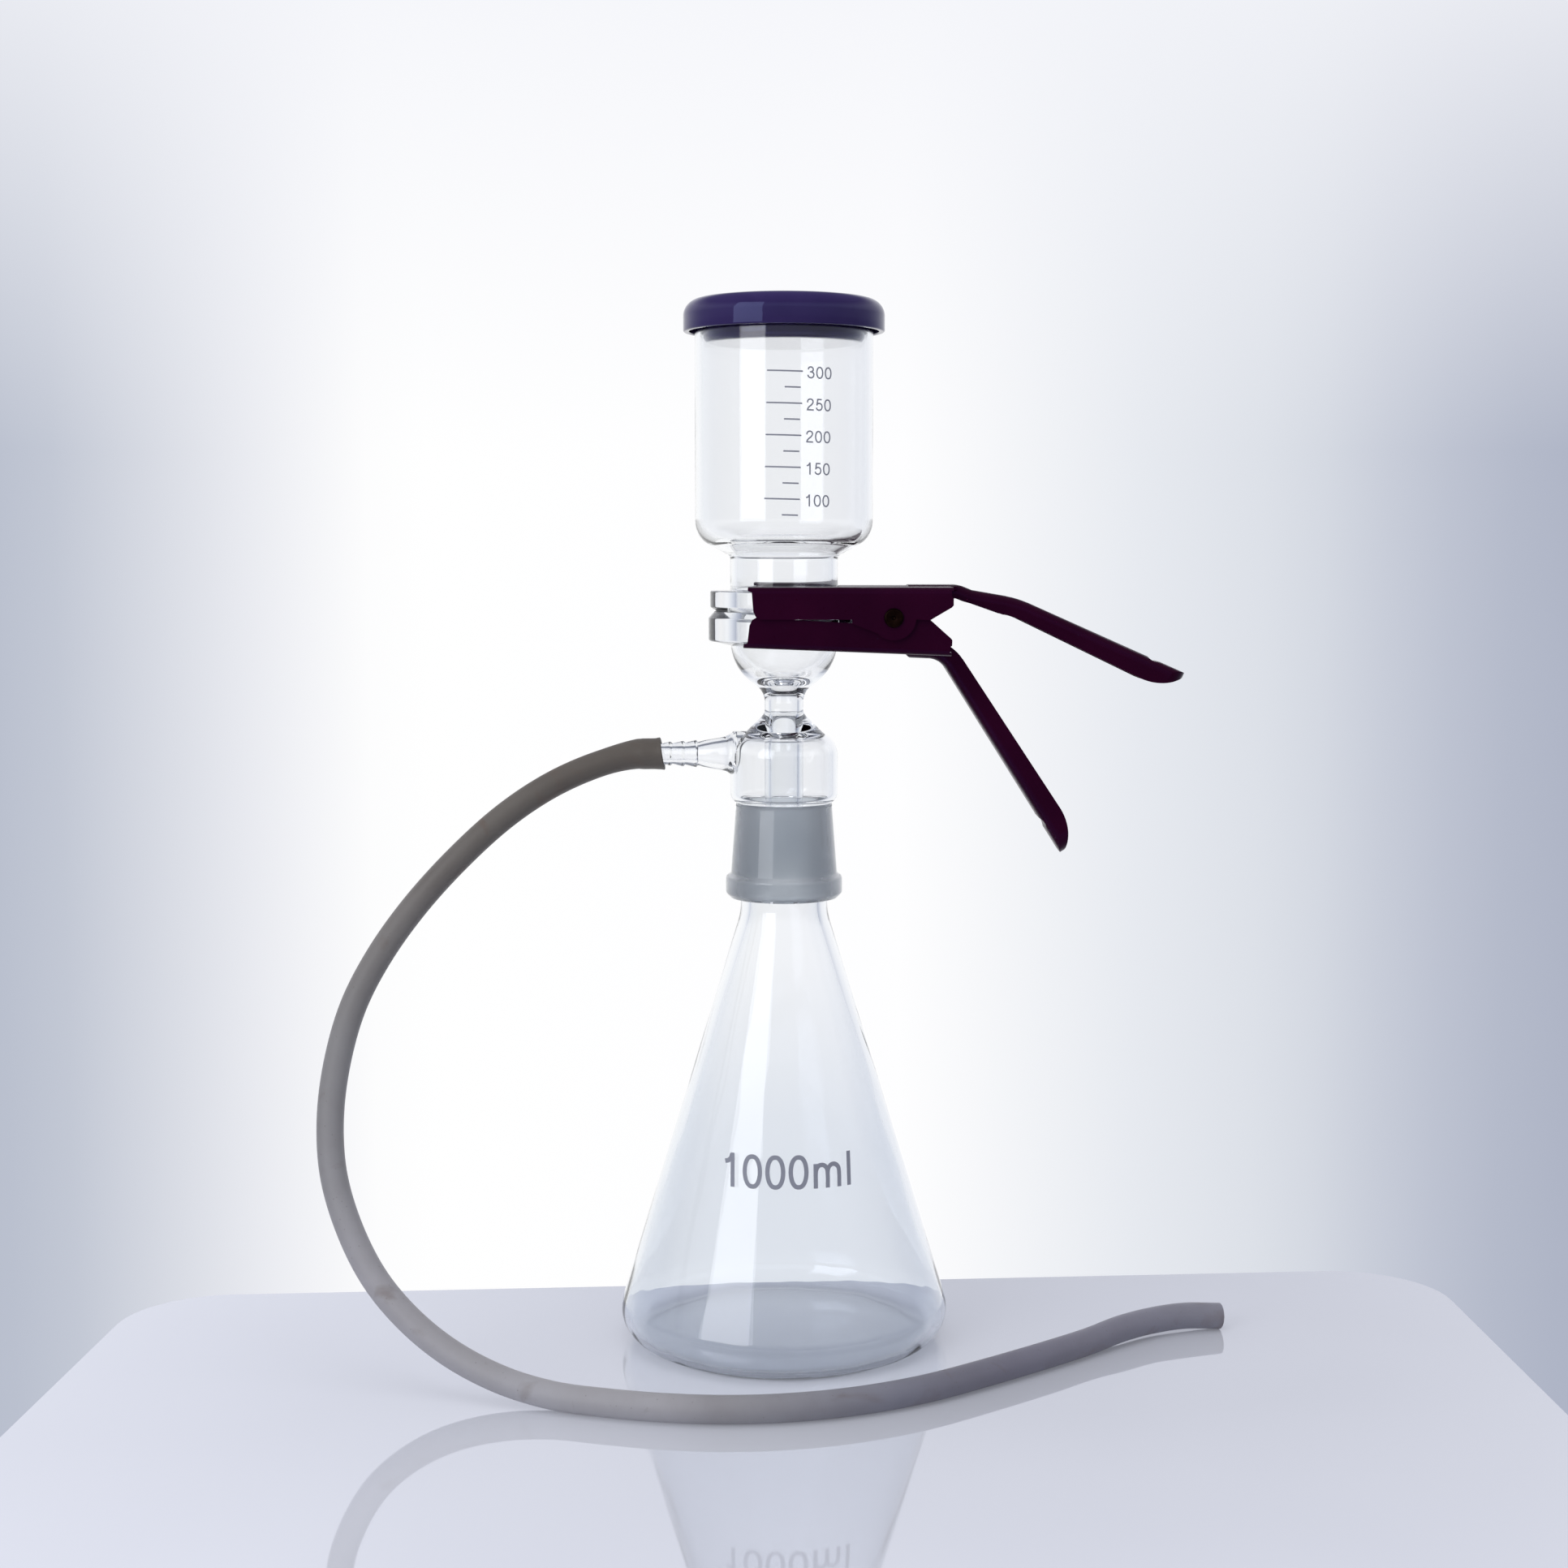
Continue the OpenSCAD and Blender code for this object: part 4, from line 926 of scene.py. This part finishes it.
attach(cup, "unit")
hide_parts("filter_cup")

# Scale: a long line and its number every 50 mL, short lines half-way. The printing screen
# was tilted a little, so the lines slope and each lower mark lies further to the left
SCALE_TOP_Z, SCALE_STEP = 412.2, 12.9
LINE_T, LINE_STEP, PRINT_TILT = 0.62, 0.8, 0.026
LONG_LINE, SHORT_LINE = (-6.9, 7.7), (0.3, 6.8)
SHIFT, SHORT_END_SHIFT, NUMBER_SHIFT = 0.3, 0.27, 0.25
NUMBERS = ("300", "250", "200", "150", "100")
NUMBER_H, NUMBER_W, NUMBER_T, NUMBER_X, NUMBER_DROP = 4.9, 10.4, 0.6, 14.9, 0.7


def on_cup(u, v, lift):
    """Places flat print on the cup's wall; u runs round to the right from the front"""
    r = CUP_R + lift
    a = u / CUP_R
    return Vector((r * math.sin(a), -r * math.cos(a), v)) * MM


def ruled(bm, left, right, z):
    """Tilted line of the scale"""
    steps = max(2, int((right - left) / LINE_STEP))
    spots = [left + (right - left) * i / steps for i in range(steps + 1)]
    printed(bm, [Vector((u, z - PRINT_TILT * u)) for u in spots], LINE_T, on_cup)


bm = bmesh.new()
for i in range(len(NUMBERS)):
    z = SCALE_TOP_Z - SCALE_STEP * i
    ruled(bm, LONG_LINE[0] - SHIFT * i, LONG_LINE[1] - SHIFT * i, z)
    ruled(bm, SHORT_LINE[0] - SHIFT * i, SHORT_LINE[1] - SHORT_END_SHIFT * i, z - SCALE_STEP / 2)
scale = new_piece("scale_lines", finished(bm, "scale"), enamel)
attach(scale, "unit")
for i, number in enumerate(NUMBERS):
    z = SCALE_TOP_Z - SCALE_STEP * i - NUMBER_DROP - NUMBER_H / 2

    def beside_line(u, v, lift, z=z, i=i):
        return on_cup(u + NUMBER_X - NUMBER_SHIFT * i, z + v - PRINT_TILT * u, lift)

    numeral_mesh = lettering(number, NUMBER_H, NUMBER_W, NUMBER_T, beside_line)
    numeral = new_piece("scale_number_" + number, numeral_mesh, enamel)
    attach(numeral, "unit")


# ---- Lid ----------------------------------------------------------------------------------
# Injection-moulded polypropylene, dark violet. Its skirt hangs over the rim and its plug
# reaches down into the cup.
LID_R, LID_TOP_Z, LID_Z = 42.3, 444.3, 430.8
LID_ROUND, SKIRT_T, PLUG_R, PLUG_LOW_Z, PLUG_ROUND = 7.0, 2.5, 33.9, 425.9, 3.0
LID_T, SKIRT_EDGE, LIP_ROUND, UNDER_ROUND = 3.4, 0.7, 0.5, 0.8
# The gate's dimple in the middle of the top, with a fine ring round it
GATE_R, GATE_RING, GATE_DEPTH = 2.2, 0.4, 0.5
lid_under_z = LID_TOP_Z - LID_T
lid_outline = (
    [(0, LID_TOP_Z - GATE_DEPTH), (GATE_R - GATE_RING, LID_TOP_Z - GATE_DEPTH)]
    + arc(GATE_R, LID_TOP_Z - GATE_DEPTH, GATE_RING, 180, 0, 6)
    + [(4.0, LID_TOP_Z - 0.12), (20, LID_TOP_Z - 0.06)]
    + arc(LID_R - LID_ROUND, LID_TOP_Z - LID_ROUND, LID_ROUND, 90, 0, 20)
    + arc(LID_R - SKIRT_EDGE, LID_Z + SKIRT_EDGE, SKIRT_EDGE, 0, -90, 5)
    + arc(LID_R - SKIRT_T + LIP_ROUND, LID_Z + LIP_ROUND, LIP_ROUND, -90, -180, 5)
    + arc(LID_R - SKIRT_T - UNDER_ROUND, lid_under_z - UNDER_ROUND, UNDER_ROUND, 0, 90, 5)
    + [(PLUG_R + 0.05, lid_under_z)]
    + arc(PLUG_R - PLUG_ROUND, PLUG_LOW_Z + PLUG_ROUND, PLUG_ROUND, 0, -90, 10)
    + [(12, PLUG_LOW_Z + 0.02), (0, PLUG_LOW_Z)]
)


def lid_plastic(name, polish):
    """Dark violet polypropylene; polish is the weight of the glassy skin the mould leaves"""
    plastic, tree, where = new_material(name)
    flow = noise(tree, where, 30, 3.0, Distortion=0.8)
    principled(tree, {
        "Base Color": toned(tree, flow, (0.3, "#362A5B"), (0.7, "#3D3163")),
        "Roughness": grade(tree, noise(tree, where, 6, 5.0), 0.3, 0.7, 0.015, 0.05),
        "IOR": 1.4, "Normal": bump(tree, noise(tree, where, 2.2, 2.0), 0.05, 0.1),
        "Specular Tint": linear("#B2C4FF"), "Coat Weight": polish, "Coat Roughness": 0.02,
    })
    return plastic


lid_mesh = turned(lid_outline, SIDES, 4.0)
lid = new_piece(
    "push_in_lid", lid_mesh,
    lid_plastic("polypropylene", 0.0), lid_plastic("polished polypropylene", 1.0),
)
give(lid_mesh, 1, lambda r, z: z < PLUG_LOW_Z + 0.4 and r < PLUG_R)
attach(lid, "unit")
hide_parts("lid")


# ---- Clamp halves -------------------------------------------------------------------------
# Two folded sheets of aluminium, anodised dark violet, forked round the glass and hinged on
# one pin. Their handles end in closed, scooped tips.
EDGE_BREAK = 0.25
anodised, tree, where = new_material("anodised aluminium")
tone = toned(tree, noise(tree, where, 22, 3.0), (0.3, "#2A0419"), (0.7, "#32061F"))
nick = grade(tree, cells(tree, where, 7), 0.02, 0.05, 0.3, 0.0)
fine = noise(tree, where, 1.2, 5.0)
principled(tree, {
    "Base Color": blend(tree, nick, tone, linear("#38304A")),
    "Roughness": grade(tree, fine, 0.3, 0.7, 0.27, 0.38),
    "Normal": bump(tree, fine, 0.05, 0.15), "IOR": 1.25, "Specular Tint": linear("#8884FF"),
})


def edge_broken(node, name, material):
    """A copy of a folded solid with its flat faces cleaned and its cut edges broken"""
    bm = bmesh.new()
    bm.from_mesh(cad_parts[node].data)
    bmesh.ops.remove_doubles(bm, verts=bm.verts, dist=2e-6)
    bmesh.ops.dissolve_limit(bm, angle_limit=math.radians(0.6), verts=bm.verts, edges=bm.edges)
    mesh = bpy.data.meshes.new(name)
    bm.to_mesh(mesh)
    bm.free()
    made = new_piece(name, mesh, material)
    bevel = made.modifiers.new("broken edges", "BEVEL")
    bevel.width, bevel.segments, bevel.limit_method = EDGE_BREAK * MM, 2, "ANGLE"
    bevel.angle_limit = math.radians(35)
    bevel.harden_normals = True
    return made


for node_name, name, body_name in (
    ("clamp_upper_half", "clamp_upper_sheet", "unit"),
    ("clamp_lower_half", "clamp_lower_sheet", "clamp_lower"),
):
    half = edge_broken(node_name, name, anodised)
    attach(half, body_name)
    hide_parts(node_name)


# ---- Pin ----------------------------------------------------------------------------------
# Steel pin through both halves, riveted over to a low domed head at each side.
PIVOT_X, PIVOT_Z, PIN_R, RIVET_R, RIVET_T, RIVET_ROUND = 45.0, 312.2, 3.0, 4.0, 1.2, 0.9
pin_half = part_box("clamp_pin")[1][1] / MM
sheet_face = pin_half - RIVET_T
pin_outline = (
    [(0, -pin_half + 0.45)]
    + arc(0, -pin_half + 0.95, 0.9, -60, -20, 4)
    + arc(RIVET_R - RIVET_ROUND, -sheet_face - RIVET_T + RIVET_ROUND, RIVET_ROUND, -80, 0, 6)
    + [(RIVET_R, -sheet_face), (PIN_R, -sheet_face)]
)
pin_outline = pin_outline + [(r, -z) for r, z in reversed(pin_outline)]
steel, tree, where = new_material("rivet steel")
dull = noise(tree, where, 1.5, 4.0)
principled(tree, {
    "Base Color": toned(tree, dull, (0.3, "#160C0A"), (0.7, "#20130E")), "Metallic": 1.0,
    "Roughness": grade(tree, dull, start=0.3, stop=0.5), "Normal": bump(tree, dull, 0.1, 0.3),
})
pin_mesh = turned(pin_outline, 64, 6.0)
pin_mesh.transform(
    Matrix.Translation((PIVOT_X * MM, 0, PIVOT_Z * MM))
    @ Matrix.Rotation(math.radians(90), 4, "X")
)
pin = new_piece("hinge_pin", pin_mesh, steel)
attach(pin, "unit")
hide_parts("clamp_pin")


# ---- Spring -------------------------------------------------------------------------------
# Torsion spring of bright drawn wire, wound round the pin inside the clamp. Its two legs
# lie along the webs and push the handles apart.
spring_steel, tree, where = new_material("drawn spring steel")
drawn = noise(tree, where, 0.8, 3.0)
principled(tree, {
    "Base Color": toned(tree, drawn, (0.3, "#8A8986"), (0.7, "#A3A2A0")), "Metallic": 1.0,
    "Roughness": grade(tree, drawn, start=0.22, stop=0.4),
    "Normal": bump(tree, drawn, 0.05, 0.2),
})
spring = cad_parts["clamp_spring"]
spring.data.materials.clear()
spring.data.materials.append(spring_steel)
